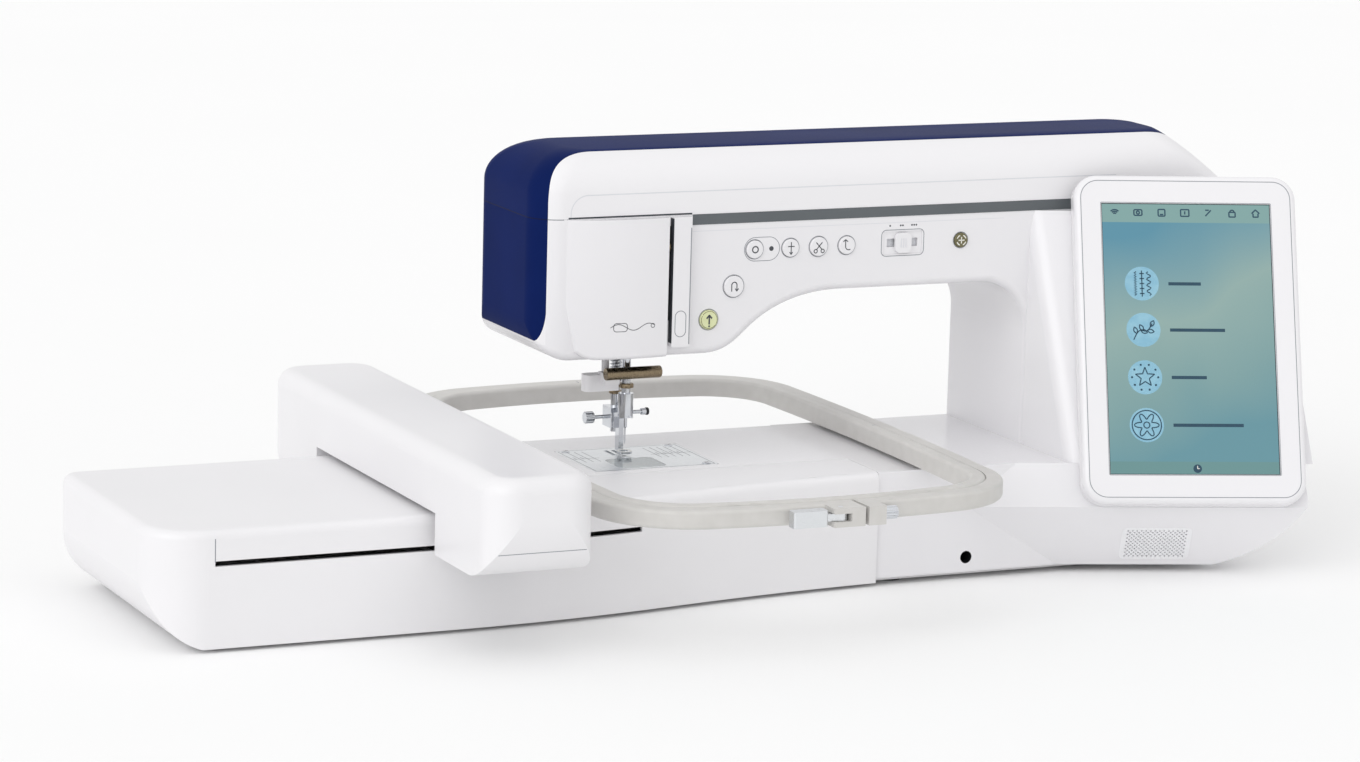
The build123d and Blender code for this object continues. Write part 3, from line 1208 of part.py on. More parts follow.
with BuildPart() as speed_slider:
    box_between(SLIDER_X - SLIDER_W / 2, SLIDER_X + SLIDER_W / 2,
                BODY_FRONT - BUTTON_OUT, BODY_FRONT + SLIDER_DEEP - SLIP,
                SLIDER_Z - SLIDER_H + SLIDER_ROOM, SLIDER_Z + SLIDER_H - SLIDER_ROOM)
    fillet(speed_slider.edges().filter_by(Axis.Y), SLIDER_W / 3)
    box_between(SLIDER_X - STEM / 2, SLIDER_X + STEM / 2, BODY_FRONT, BODY_FRONT + WALL + BUTTON_TAIL,
                SLIDER_Z - STEM / 2, SLIDER_Z + STEM / 2)
    box_between(SLIDER_X - STEM, SLIDER_X + STEM, BODY_FRONT + WALL + SLIP, BODY_FRONT + WALL + BUTTON_TAIL,
                SLIDER_Z - STEM, SLIDER_Z + STEM)
speed_slider.part.label = "speed_slider"
export_step(speed_slider.part, "parts/speed_slider.step")

# Presser lever at the back of the head
with BuildPart() as presser_lever:
    with BuildSketch(side(LEVER_X - LEVER_W / 2)):
        with Locations((LEVER_Y, LEVER_Z)):
            Circle(LEVER_T * 0.8)
    extrude(amount=LEVER_W)
    box_between(LEVER_X - LEVER_W / 2, LEVER_X + LEVER_W / 2, LEVER_Y, LEVER_Y + LEVER_REACH,
                LEVER_Z - LEVER_T / 2, LEVER_Z + LEVER_T / 2)
    fillet(presser_lever.edges().filter_by(Axis.Z).group_by(Axis.Y)[-1], LEVER_W * 0.4)
    with BuildSketch(side(LEVER_X - LEVER_W / 2 - LEVER_EAR)):
        with Locations((LEVER_Y, LEVER_Z)):
            Circle(PIN_R)
    extrude(amount=LEVER_W + 2 * LEVER_EAR)
presser_lever.part.label = "presser_lever"
export_step(presser_lever.part, "parts/presser_lever.step")

# Screws under the base plate and in the back of the arm
with BuildPart() as screws:
    with BuildSketch(level(FOOT_H - SCREW_HEAD)):
        with Locations(*BASE_SCREWS):
            Circle(SCREW_R)
            RegularPolygon(SCREW_KEY, 6, mode=Mode.SUBTRACT)
    extrude(amount=SCREW_HEAD)
    with BuildSketch(front(BODY_BACK + SCREW_HEAD)):
        with Locations(*BACK_SCREWS):
            Circle(SCREW_R)
            RegularPolygon(SCREW_KEY, 6, mode=Mode.SUBTRACT)
    extrude(amount=SCREW_HEAD)
screws.part.label = "screws"
export_step(screws.part, "parts/screws.step")


def unit_block(inset, z0, z1):
    """Embroidery unit between two heights, drawn in by an inset for the hollow inside."""
    right = BASE_LEFT - UNIT_GAP
    notch_x = BED_LEFT - UNIT_GAP
    notch_y = BED_FRONT - UNIT_GAP
    with BuildPart() as block:
        with BuildSketch(level(z0)) as plan:
            with BuildLine():
                swell = TangentArc((UNIT_FLAT_X, UNIT_FRONT), (UNIT_TURN_X, UNIT_TURN_Y), tangent=(1, 0))
                TangentArc((UNIT_TURN_X, UNIT_TURN_Y), (right, UNIT_END_Y), tangent=swell % 1)
                Polyline((right, UNIT_END_Y), (right, notch_y), (notch_x, notch_y), (notch_x, UNIT_BACK),
                         (UNIT_LEFT, UNIT_BACK), (UNIT_LEFT, UNIT_FRONT), (UNIT_FLAT_X, UNIT_FRONT))
            make_face()
            fillet(plan.vertices().group_by(Axis.X)[0].sort_by(Axis.Y)[0], UNIT_CORNER)
            fillet(plan.vertices().group_by(Axis.X)[0].sort_by(Axis.Y)[-1], UNIT_BACK_CORNER)
            if inset:
                offset(amount=-inset, mode=Mode.REPLACE)
        extrude(amount=z1 - z0)
    return block.part


# Lower shell of the unit, with the boat-shaped left end
with BuildPart() as unit_hollow:
    add(unit_block(WALL, FOOT_H + WALL, UNIT_SPLIT))
    box_between(UNIT_FLOOR_X + WALL, BASE_LEFT, UNIT_FRONT, UNIT_BACK, FOOT_H, UNIT_SPLIT, Mode.INTERSECT)

with BuildPart() as unit_lower_shell:
    add(unit_block(0, FOOT_H, UNIT_SPLIT))
    with BuildSketch(front(UNIT_BACK + CUT)):
        with BuildLine():
            Spline((UNIT_FLOOR_X, FOOT_H), (UNIT_LEFT, UNIT_HULL_Z), tangents=((-1, 0.3), (-0.2, 1)))
            Polyline((UNIT_LEFT, UNIT_HULL_Z), (UNIT_LEFT, UNIT_SPLIT), (BASE_LEFT, UNIT_SPLIT),
                     (BASE_LEFT, FOOT_H), (UNIT_FLOOR_X, FOOT_H))
        make_face()
    extrude(amount=UNIT_BACK - UNIT_FRONT + 2 * CUT, mode=Mode.INTERSECT)
    add(unit_hollow.part, mode=Mode.SUBTRACT)
unit_lower_shell.part.label = "unit_lower_shell"
export_step(unit_lower_shell.part, "parts/unit_lower_shell.step")

# Top shell of the unit, slotted front and back for the carriage
with BuildPart() as unit_top_shell:
    add(unit_block(0, UNIT_SPLIT, BED_H))
    rims = unit_top_shell.faces().sort_by(Axis.Z)[-1].edges()
    rims = rims.filter_by(lambda e: e.center().X < NEEDLE_X + BED_LEFT - CUT
                          or e.center().Y < NEEDLE_Y + BED_FRONT - WALL)
    fillet(rims.filter_by(lambda e: e.center().X < NEEDLE_X + BASE_LEFT - CUT), UNIT_RIM)
    add(unit_block(WALL, UNIT_SPLIT, BED_H - WALL), mode=Mode.SUBTRACT)
    box_between(SLOT_X0, SLOT_X1, UNIT_FRONT - CUT, UNIT_TURN_Y + 2 * WALL, SLOT_Z0, SLOT_Z0 + SLOT_H,
                Mode.SUBTRACT)
    box_between(SLOT_X0, SLOT_REAR_X1, UNIT_BACK - WALL - CUT, UNIT_BACK + CUT, SLOT_Z0, SLOT_Z0 + SLOT_H,
                Mode.SUBTRACT)
unit_top_shell.part.label = "unit_top_shell"
export_step(unit_top_shell.part, "parts/unit_top_shell.step")

# Rails across the unit, each between a block on the left step and a block on the floor
RAIL_X0 = UNIT_LEFT + RAIL_END
RAIL_X1 = BED_LEFT - UNIT_GAP - RAIL_END
with BuildPart() as x_rails:
    for rail_y in RAIL_YS:
        with BuildSketch(side(RAIL_X0)):
            with Locations((rail_y, RAIL_Z)):
                Circle(RAIL_R)
        extrude(amount=RAIL_X1 - RAIL_X0)
        box_between(RAIL_X0, RAIL_X0 + RAIL_BLOCK_T, rail_y - RAIL_BLOCK_W, rail_y + RAIL_BLOCK_W,
                    UNIT_SPLIT, RAIL_Z + RAIL_BLOCK_W)
        box_between(RAIL_X1 - RAIL_BLOCK_T, RAIL_X1, rail_y - RAIL_BLOCK_W, rail_y + RAIL_BLOCK_W,
                    FOOT_H + WALL, RAIL_Z + RAIL_BLOCK_W)
x_rails.part.label = "x_rails"
export_step(x_rails.part, "parts/x_rails.step")

# Carriage on the rails, with a tongue out through each slot
TONGUE_Z = SLOT_Z0 + (SLOT_H - TONGUE_T) / 2
CARRIAGE_BACK = RAIL_YS[1] + 2 * RAIL_BLOCK_W
CARRIAGE_FRONT = RAIL_YS[0] - 2 * RAIL_BLOCK_W
with BuildPart() as x_carriage:
    box_between(CARRIAGE_X - CARRIAGE_W / 2, CARRIAGE_X + CARRIAGE_W / 2, CARRIAGE_FRONT, CARRIAGE_BACK,
                UNIT_SPLIT + CARRIAGE_ROOM, TONGUE_Z + TONGUE_T)
    for rail_y in RAIL_YS:
        with BuildSketch(side(CARRIAGE_X - CARRIAGE_W)):
            with Locations((rail_y, RAIL_Z)):
                Circle(RAIL_R + RUN)
        extrude(amount=2 * CARRIAGE_W, mode=Mode.SUBTRACT)
    box_between(CARRIAGE_X - TONGUE_W / 2, CARRIAGE_X + TONGUE_W / 2,
                UNIT_FRONT - TONGUE_REACH, CARRIAGE_FRONT + CUT, TONGUE_Z, TONGUE_Z + TONGUE_T)
    box_between(CARRIAGE_X - TONGUE_W / 2, CARRIAGE_X + TONGUE_W / 2,
                CARRIAGE_BACK - CUT, UNIT_BACK + TONGUE_REACH, TONGUE_Z, TONGUE_Z + TONGUE_T)
x_carriage.part.label = "x_carriage"
export_step(x_carriage.part, "parts/x_carriage.step")

ARM_FLOOR = BED_H + ARM_LIFT
CHIN_FRONT = UNIT_FRONT - CHIN_GAP
CHIN_BACK = UNIT_BACK + CHIN_GAP


def arm_block(inset):
    """Carriage arm with a chin over each end of the unit, drawn in by an inset for the hollow inside."""
    with BuildPart() as block:
        with BuildSketch(side(CARRIAGE_X - ARM_W / 2 + inset)) as profile:
            with BuildLine():
                Polyline((ARM_FRONT, ARM_TOP), (ARM_BACK, ARM_TOP), (ARM_BACK, CHIN_Z), (CHIN_BACK, CHIN_Z),
                         (CHIN_BACK, ARM_FLOOR), (CHIN_FRONT, ARM_FLOOR), (CHIN_FRONT, CHIN_Z),
                         (ARM_FRONT, CHIN_Z), close=True)
            make_face()
            low = profile.vertices().group_by(Axis.Y)[0].sort_by(Axis.X)
            fillet([low[0], low[-1]], CHIN_R)
            if inset:
                offset(amount=-inset, mode=Mode.REPLACE)
        extrude(amount=ARM_W - 2 * inset)
        with BuildSketch(level(0)):
            with Locations((CARRIAGE_X, (ARM_FRONT + ARM_BACK) / 2)):
                RectangleRounded(ARM_W - 2 * inset, ARM_BACK - ARM_FRONT - 2 * inset, ARM_CORNER - inset)
        extrude(amount=ARM_TOP + CUT, mode=Mode.INTERSECT)
        if not inset:
            fillet(block.faces().sort_by(Axis.Z)[-1].edges(), ARM_RIM)
    return block.part


# Shell of the carriage arm, open under the chins and slotted on the right for the hoop holder
HOLDER_FRONT = HOLDER_Y - HOLDER_L / 2
HOLDER_BACK = HOLDER_Y + HOLDER_L / 2
ARM_RIGHT = CARRIAGE_X + ARM_W / 2
ARM_DECK_Z = ARM_FLOOR + ARM_WALL
NECK_Z = ARM_DECK_Z + DECK_T + SLOT_H / 2
with BuildPart() as arm_shell:
    add(arm_block(0))
    add(arm_block(ARM_WALL), mode=Mode.SUBTRACT)
    box_between(CARRIAGE_X - TONGUE_W / 2 - ARM_WALL, CARRIAGE_X + TONGUE_W / 2 + ARM_WALL,
                UNIT_FRONT - TONGUE_REACH - CUT, CHIN_FRONT + CUT, CHIN_Z - CUT, CHIN_Z + ARM_WALL + CUT,
                Mode.SUBTRACT)
    box_between(CARRIAGE_X - TONGUE_W / 2 - ARM_WALL, CARRIAGE_X + TONGUE_W / 2 + ARM_WALL,
                CHIN_BACK - CUT, UNIT_BACK + TONGUE_REACH + CUT, CHIN_Z - CUT, CHIN_Z + ARM_WALL + CUT,
                Mode.SUBTRACT)
    box_between(ARM_RIGHT - ARM_WALL - CUT, ARM_RIGHT + CUT, HOLDER_Y - NECK_L / 2 - Y_TRAVEL_FRONT - ARM_WALL,
                HOLDER_Y + NECK_L / 2 + Y_TRAVEL_BACK + ARM_WALL,
                NECK_Z - (SLOT_H - NECK_T) / 2, NECK_Z + (SLOT_H + NECK_T) / 2, Mode.SUBTRACT)
arm_shell.part.label = "arm_shell"
export_step(arm_shell.part, "parts/arm_shell.step")

# Deck inside the arm: it stands on the tongues by two posts and holds the rails between two brackets
POST_FRONT = UNIT_FRONT - TONGUE_REACH + ARM_WALL
POST_BACK = UNIT_BACK + TONGUE_REACH - ARM_WALL - POST_D
BRACKET_FRONT = ARM_FRONT + 2 * ARM_WALL
BRACKET_BACK = ARM_BACK - 2 * ARM_WALL - Y_BRACKET_T
with BuildPart() as arm_frame:
    box_between(CARRIAGE_X - 2 * Y_RAIL_DX, CARRIAGE_X + 2 * Y_RAIL_DX,
                BRACKET_FRONT, BRACKET_BACK + Y_BRACKET_T, ARM_DECK_Z, ARM_DECK_Z + DECK_T)
    for post_y in (POST_FRONT, POST_BACK):
        box_between(CARRIAGE_X - TONGUE_W / 2, CARRIAGE_X + TONGUE_W / 2, post_y, post_y + POST_D,
                    TONGUE_Z + TONGUE_T, ARM_DECK_Z + CUT)
    for bracket_y in (BRACKET_FRONT, BRACKET_BACK):
        box_between(CARRIAGE_X - 2 * Y_RAIL_DX, CARRIAGE_X + 2 * Y_RAIL_DX,
                    bracket_y, bracket_y + Y_BRACKET_T, ARM_DECK_Z, Y_RAIL_Z + 2 * RAIL_R)
        with BuildSketch(front(bracket_y)):
            with Locations((CARRIAGE_X - Y_RAIL_DX, Y_RAIL_Z), (CARRIAGE_X + Y_RAIL_DX, Y_RAIL_Z)):
                Circle(RAIL_R + RUN)
        extrude(amount=-Y_BRACKET_T, mode=Mode.SUBTRACT)
arm_frame.part.label = "arm_frame"
export_step(arm_frame.part, "parts/arm_frame.step")

with BuildPart() as y_rails:
    with BuildSketch(front(BRACKET_FRONT)):
        with Locations((CARRIAGE_X - Y_RAIL_DX, Y_RAIL_Z), (CARRIAGE_X + Y_RAIL_DX, Y_RAIL_Z)):
            Circle(RAIL_R)
    extrude(amount=-(BRACKET_BACK + Y_BRACKET_T - BRACKET_FRONT))
y_rails.part.label = "y_rails"
export_step(y_rails.part, "parts/y_rails.step")

# Y carriage: slide block, neck out through the slot and the holder plate that takes the hoop
HOLDER_X = HOOP_X0 - CLAMP_GAP
with BuildPart() as y_carriage:
    box_between(CARRIAGE_X - 1.5 * Y_RAIL_DX, CARRIAGE_X + 1.5 * Y_RAIL_DX, HOLDER_FRONT, HOLDER_BACK,
                NECK_Z, Y_RAIL_Z + 2 * RAIL_R)
    with BuildSketch(front(HOLDER_FRONT)):
        with Locations((CARRIAGE_X - Y_RAIL_DX, Y_RAIL_Z), (CARRIAGE_X + Y_RAIL_DX, Y_RAIL_Z)):
            Circle(RAIL_R + RUN)
    extrude(amount=-HOLDER_L, mode=Mode.SUBTRACT)
    box_between(CARRIAGE_X, HOLDER_X, HOLDER_Y - NECK_L / 2, HOLDER_Y + NECK_L / 2, NECK_Z, NECK_Z + NECK_T)
    box_between(HOLDER_X - HOLDER_T, HOLDER_X, HOLDER_FRONT, HOLDER_BACK,
                HOOP_Z + CLAMP_EAR, NECK_Z + NECK_T + CUT)
y_carriage.part.label = "y_carriage"
export_step(y_carriage.part, "parts/y_carriage.step")


def hoop_block(inset, z0, height):
    """Hoop outline with bowed sides and round corners, drawn in by an inset, as a block."""
    x0 = HOOP_X0 + HOOP_BULGE_SIDE + inset
    x1 = HOOP_X1 - HOOP_BULGE_SIDE - inset
    y0 = HOOP_Y0 + HOOP_BULGE_END + inset
    y1 = HOOP_Y1 - HOOP_BULGE_END - inset
    with BuildPart() as block:
        with BuildSketch(level(z0)) as outline:
            with BuildLine():
                ThreePointArc((x0, y0), ((x0 + x1) / 2, HOOP_Y0 + inset), (x1, y0))
                ThreePointArc((x1, y0), (HOOP_X1 - inset, (y0 + y1) / 2), (x1, y1))
                ThreePointArc((x1, y1), ((x0 + x1) / 2, HOOP_Y1 - inset), (x0, y1))
                ThreePointArc((x0, y1), (HOOP_X0 + inset, (y0 + y1) / 2), (x0, y0))
            make_face()
            fillet(outline.vertices(), HOOP_CORNER - inset)
        extrude(amount=height)
    return block.part


# Outer ring, parted at the clamp, with two lugs and the foot that sits in the holder
CLAMP_FRONT = HOOP_Y0 - CLAMP_OUT
CLAMP_Y = HOOP_Y0 - CLAMP_OUT / 2
CLAMP_Z = HOOP_Z + HOOP_H / 2
LUG_X = CLAMP_X1 + CLAMP_GAP
with BuildPart() as hoop_outer:
    add(hoop_block(0, HOOP_Z, HOOP_H))
    fillet(hoop_outer.faces().sort_by(Axis.Z)[-1].edges(), HOOP_RIM)
    fillet(hoop_outer.faces().sort_by(Axis.Z)[0].edges(), HOOP_RIM)
    box_between(CLAMP_X0, CLAMP_X2, CLAMP_FRONT, HOOP_Y0 + HOOP_BAND / 2, HOOP_Z, HOOP_Z + HOOP_H)
    box_between(HOLDER_X, HOOP_X0 + HOOP_BAND / 2, HOLDER_Y - NECK_L / 2, HOLDER_Y + NECK_L / 2,
                HOOP_Z + HOOP_STEP, HOOP_Z + HOOP_H - HOOP_STEP)
    add(hoop_block(HOOP_BAND, HOOP_Z, HOOP_H), mode=Mode.SUBTRACT)
    box_between(CLAMP_X1, LUG_X, CLAMP_FRONT - CUT, HOOP_Y0 + 2 * HOOP_BAND, HOOP_Z, HOOP_Z + HOOP_H,
                Mode.SUBTRACT)
    box_between(CLAMP_X0 - CUT, CLAMP_PIN_X + CLAMP_EYE + CUT, CLAMP_FRONT - CUT, CLAMP_Y + CLAMP_EYE + SLIP,
                HOOP_Z + CLAMP_EAR, HOOP_Z + HOOP_H - CLAMP_EAR, Mode.SUBTRACT)
    with BuildSketch(level(HOOP_Z)):
        with Locations((CLAMP_PIN_X, CLAMP_Y)):
            Circle(CLAMP_PIN_R + RUN)
    extrude(amount=HOOP_H, mode=Mode.SUBTRACT)
    with BuildSketch(side(CLAMP_X1 - SCREW_TAIL - SLIP)):
        with Locations((CLAMP_Y, CLAMP_Z)):
            Circle(CLAMP_PIN_R + RUN)
    extrude(amount=CLAMP_X2 - CLAMP_X1 + SCREW_TAIL + CUT, mode=Mode.SUBTRACT)
hoop_outer.part.label = "hoop_outer"
export_step(hoop_outer.part, "parts/hoop_outer.step")

with BuildPart() as hoop_inner:
    add(hoop_block(HOOP_BAND + SLIP, HOOP_Z + SLIP, HOOP_H + HOOP_RISE - SLIP))
    add(hoop_block(2 * HOOP_BAND, HOOP_Z, HOOP_H + HOOP_RISE), mode=Mode.SUBTRACT)
    fillet(hoop_inner.faces().sort_by(Axis.Z)[-1].edges(), HOOP_RIM)
hoop_inner.part.label = "hoop_inner"
export_step(hoop_inner.part, "parts/hoop_inner.step")

# Clamp lever, its tongue in the lug's fork on an upright pin
with BuildPart() as hoop_lever:
    box_between(LEVER_TIP_X, CLAMP_PIN_X - LEVER_ROOT, CLAMP_FRONT + LEVER_SET, CLAMP_Y + CLAMP_EYE - LEVER_SET,
                HOOP_Z + LEVER_SET, HOOP_Z + HOOP_H - LEVER_SET)
    fillet(hoop_lever.edges().filter_by(Axis.Z), LEVER_RIM)
    box_between(LEVER_TIP_X + LEVER_ROOT, CLAMP_PIN_X,
                CLAMP_Y - CLAMP_EYE + LEVER_SET, CLAMP_Y + CLAMP_EYE - LEVER_SET,
                HOOP_Z + CLAMP_EAR + SLIP, HOOP_Z + HOOP_H - CLAMP_EAR - SLIP)
    with BuildSketch(level(HOOP_Z + CLAMP_EAR + SLIP)):
        with Locations((CLAMP_PIN_X, CLAMP_Y)):
            Circle(CLAMP_EYE)
    extrude(amount=HOOP_H - 2 * CLAMP_EAR - 2 * SLIP)
    with BuildSketch(level(HOOP_Z)):
        with Locations((CLAMP_PIN_X, CLAMP_Y)):
            Circle(CLAMP_PIN_R)
    extrude(amount=HOOP_H)
hoop_lever.part.label = "hoop_lever"
export_step(hoop_lever.part, "parts/hoop_lever.step")

# Clamp screw across the two lugs, with its knurled knob
with BuildPart() as hoop_screw:
    with BuildSketch(side(CLAMP_X1 - SCREW_TAIL)):
        with Locations((CLAMP_Y, CLAMP_Z)):
            Circle(CLAMP_PIN_R)
    extrude(amount=CLAMP_X2 + CLAMP_GAP - CLAMP_X1 + SCREW_TAIL)
    with BuildSketch(side(CLAMP_X2 + SLIP)):
        with Locations((CLAMP_Y, CLAMP_Z)):
            Circle(KNOB_R)
            with PolarLocations(KNOB_R + KNOB_GRIP_OUT, KNOB_GRIPS):
                Circle(KNOB_GRIP_R, mode=Mode.SUBTRACT)
    extrude(amount=KNOB_L)
hoop_screw.part.label = "hoop_screw"
export_step(hoop_screw.part, "parts/hoop_screw.step")
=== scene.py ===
"""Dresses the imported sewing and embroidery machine: finishes, printed marks, screen, trim and studio."""
import logging
from dataclasses import dataclass
from enum import Enum
from typing import Sequence

import bmesh
import bpy
import numpy as np
from mathutils import Matrix, Vector
from mathutils.bvhtree import BVHTree


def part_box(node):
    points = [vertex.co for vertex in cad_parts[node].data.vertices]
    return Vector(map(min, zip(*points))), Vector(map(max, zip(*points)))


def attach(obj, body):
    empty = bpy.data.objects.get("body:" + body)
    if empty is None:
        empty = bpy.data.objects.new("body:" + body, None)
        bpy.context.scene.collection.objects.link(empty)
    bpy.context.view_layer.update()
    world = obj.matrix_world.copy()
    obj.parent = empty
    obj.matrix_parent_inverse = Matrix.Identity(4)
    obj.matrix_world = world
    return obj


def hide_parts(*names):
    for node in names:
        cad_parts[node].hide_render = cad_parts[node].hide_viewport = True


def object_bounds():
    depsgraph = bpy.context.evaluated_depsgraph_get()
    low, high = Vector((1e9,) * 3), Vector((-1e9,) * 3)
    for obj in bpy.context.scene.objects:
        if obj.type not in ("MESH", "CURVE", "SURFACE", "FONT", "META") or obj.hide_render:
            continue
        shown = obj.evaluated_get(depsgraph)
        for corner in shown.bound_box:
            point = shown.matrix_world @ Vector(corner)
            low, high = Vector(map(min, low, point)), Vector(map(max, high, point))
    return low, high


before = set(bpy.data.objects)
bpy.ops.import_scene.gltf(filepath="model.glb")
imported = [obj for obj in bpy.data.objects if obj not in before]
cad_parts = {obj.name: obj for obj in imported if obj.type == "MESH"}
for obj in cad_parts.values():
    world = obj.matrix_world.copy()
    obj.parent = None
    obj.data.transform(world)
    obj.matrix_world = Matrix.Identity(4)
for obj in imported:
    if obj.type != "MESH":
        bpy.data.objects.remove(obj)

CAD_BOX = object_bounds()
LOG = logging.getLogger("machine")
MM = 0.001
# The needle point in the frame, in millimetres; places on the machine are measured from it
NEEDLE = np.array([-46.5, 36.0, 0.0])
RIGHT, BACK, UP = (1.0, 0.0, 0.0), (0.0, 1.0, 0.0), (0.0, 0.0, 1.0)
FRONT, DOWN = (0.0, -1.0, 0.0), (0.0, 0.0, -1.0)
# A flat path in millimetres, and whether it is a loop
Stroke = tuple[np.ndarray, bool]


class Slot(Enum):
    """Material slots of the record, one for each kind of finish that a new piece stands for."""

    WHITE = "white_shell"
    GREY = "grey_trim"
    STEEL = "steel"
    CHROME = "chrome"
    BLACK = "black_plastic"
    SCREEN = "screen_glass"
    BRONZE = "bronze_metal"
    OLIVE = "olive_key"


# The slot that each finish of a new piece usually stands for
SLOTS = {"ink": Slot.BLACK, "black": Slot.BLACK, "mark": Slot.WHITE, "crease": Slot.WHITE, "lid": Slot.WHITE,
         "seam": Slot.GREY, "navy_seam": Slot.GREY, "slit": Slot.GREY, "disc": Slot.SCREEN,
         "line": Slot.SCREEN, "picture": Slot.SCREEN, "steel": Slot.STEEL, "chrome": Slot.CHROME,
         "bronze": Slot.BRONZE, "olive": Slot.OLIVE}


def place(points: Sequence) -> np.ndarray:
    """Turns millimetres from the needle point into metres of the frame."""
    return (np.asarray(points, float) + NEEDLE) * MM


def linear(code: str) -> tuple[float, float, float, float]:
    """Turns an sRGB hex colour into linear light.

    Args:
        code: six hex digits with a leading hash.

    Returns:
        Red, green, blue and full opacity.
    """
    value = np.array([int(code[i:i + 2], 16) for i in (1, 3, 5)]) / 255
    light = np.where(value <= 0.04045, value / 12.92, ((value + 0.055) / 1.055) ** 2.4)
    return (*light.tolist(), 1.0)


def add_node(tree: bpy.types.NodeTree, kind: str, inputs: dict | None = None,
             **settings: object) -> bpy.types.Node:
    """Adds one node with its settings and links.

    Args:
        tree: the node tree that gets it.
        kind: the node's type name without its leading ShaderNode.
        inputs: for each input, by name or number, a value, a socket, or a node whose first output is meant.
        settings: attributes of the node.

    Returns:
        The new node.
    """
    node = tree.nodes.new("ShaderNode" + kind)
    for name, value in settings.items():
        setattr(node, name, value)
    for name, value in (inputs or {}).items():
        value = value.outputs[0] if isinstance(value, bpy.types.Node) else value
        if isinstance(value, bpy.types.NodeSocket):
            tree.links.new(value, node.inputs[name])
        else:
            node.inputs[name].default_value = value
    return node


# ---------------------------------------------------------------- finishes


@dataclass(frozen=True)
class Finish:
    """A finish: mottled colour, varied roughness and a fine bump, each on its own scale.

    Attributes:
        name: common name of the material and how its surface was made.
        colour: main colour.
        shade: colour of the slightly darker patches.
        roughness: middle roughness.
        grain_mm: size of the fine surface grain.
        depth_mm: height of that grain.
        patch_mm: size of the colour patches.
        metallic: 1 for bare metal.
        ior: index of refraction of the body.
        coat: share of clear gloss on top.
        stretch: how much the grain is drawn out along each axis.
        spread: how far roughness wanders from its middle.
        specular: level of the surface reflection.
    """

    name: str
    colour: str
    shade: str
    roughness: float
    grain_mm: float = 0.8
    depth_mm: float = 0.004
    patch_mm: float = 90.0
    metallic: float = 0.0
    ior: float = 1.5
    coat: float = 0.0
    stretch: tuple[float, float, float] = (1.0, 1.0, 1.0)
    spread: float = 0.05
    specular: float = 0.5

    def build(self) -> bpy.types.Material:
        """Makes the material: two noises on object coordinates drive colour, roughness and bump.

        Returns:
            The material, ready for a slot.
        """
        material = bpy.data.materials.new(self.name)
        material.use_nodes = True
        tree = material.node_tree
        tree.nodes.clear()
        where = add_node(tree, "TexCoord").outputs["Object"]
        drawn_out = add_node(tree, "Mapping", {"Vector": where, "Scale": self.stretch})
        fine, broad = (add_node(tree, "TexNoise", {"Vector": by, "Scale": 1 / (size * MM), "Detail": detail})
                       for by, size, detail in ((drawn_out, self.grain_mm, 3.0), (where, self.patch_mm, 2.0)))
        tint = add_node(tree, "Mix", {0: broad, 6: linear(self.colour), 7: linear(self.shade)},
                        data_type="RGBA")
        rough = add_node(tree, "MapRange", {0: fine, 3: self.roughness - self.spread,
                                            4: self.roughness + self.spread})
        bump = add_node(tree, "Bump", {"Height": fine, "Strength": 0.35, "Distance": self.depth_mm * MM})
        shader = add_node(tree, "BsdfPrincipled", {
            "Base Color": tint.outputs[2], "Roughness": rough, "Normal": bump, "Metallic": self.metallic,
            "IOR": self.ior, "Specular IOR Level": self.specular, "Coat Weight": self.coat,
            "Coat Roughness": 0.06})
        self.extend(tree, shader)
        add_node(tree, "OutputMaterial", {"Surface": shader})
        return material

    def extend(self, tree: bpy.types.NodeTree, shader: bpy.types.Node) -> None:
        """Leaves the plain finish as it is; finishes that need more override this."""


@dataclass(frozen=True)
class ClearPlastic(Finish):
    """Clear moulded acrylic: light passes through, with a faint tint."""

    def extend(self, tree: bpy.types.NodeTree, shader: bpy.types.Node) -> None:
        """Lets most of the light through the shader."""
        shader.inputs["Transmission Weight"].default_value = 0.85


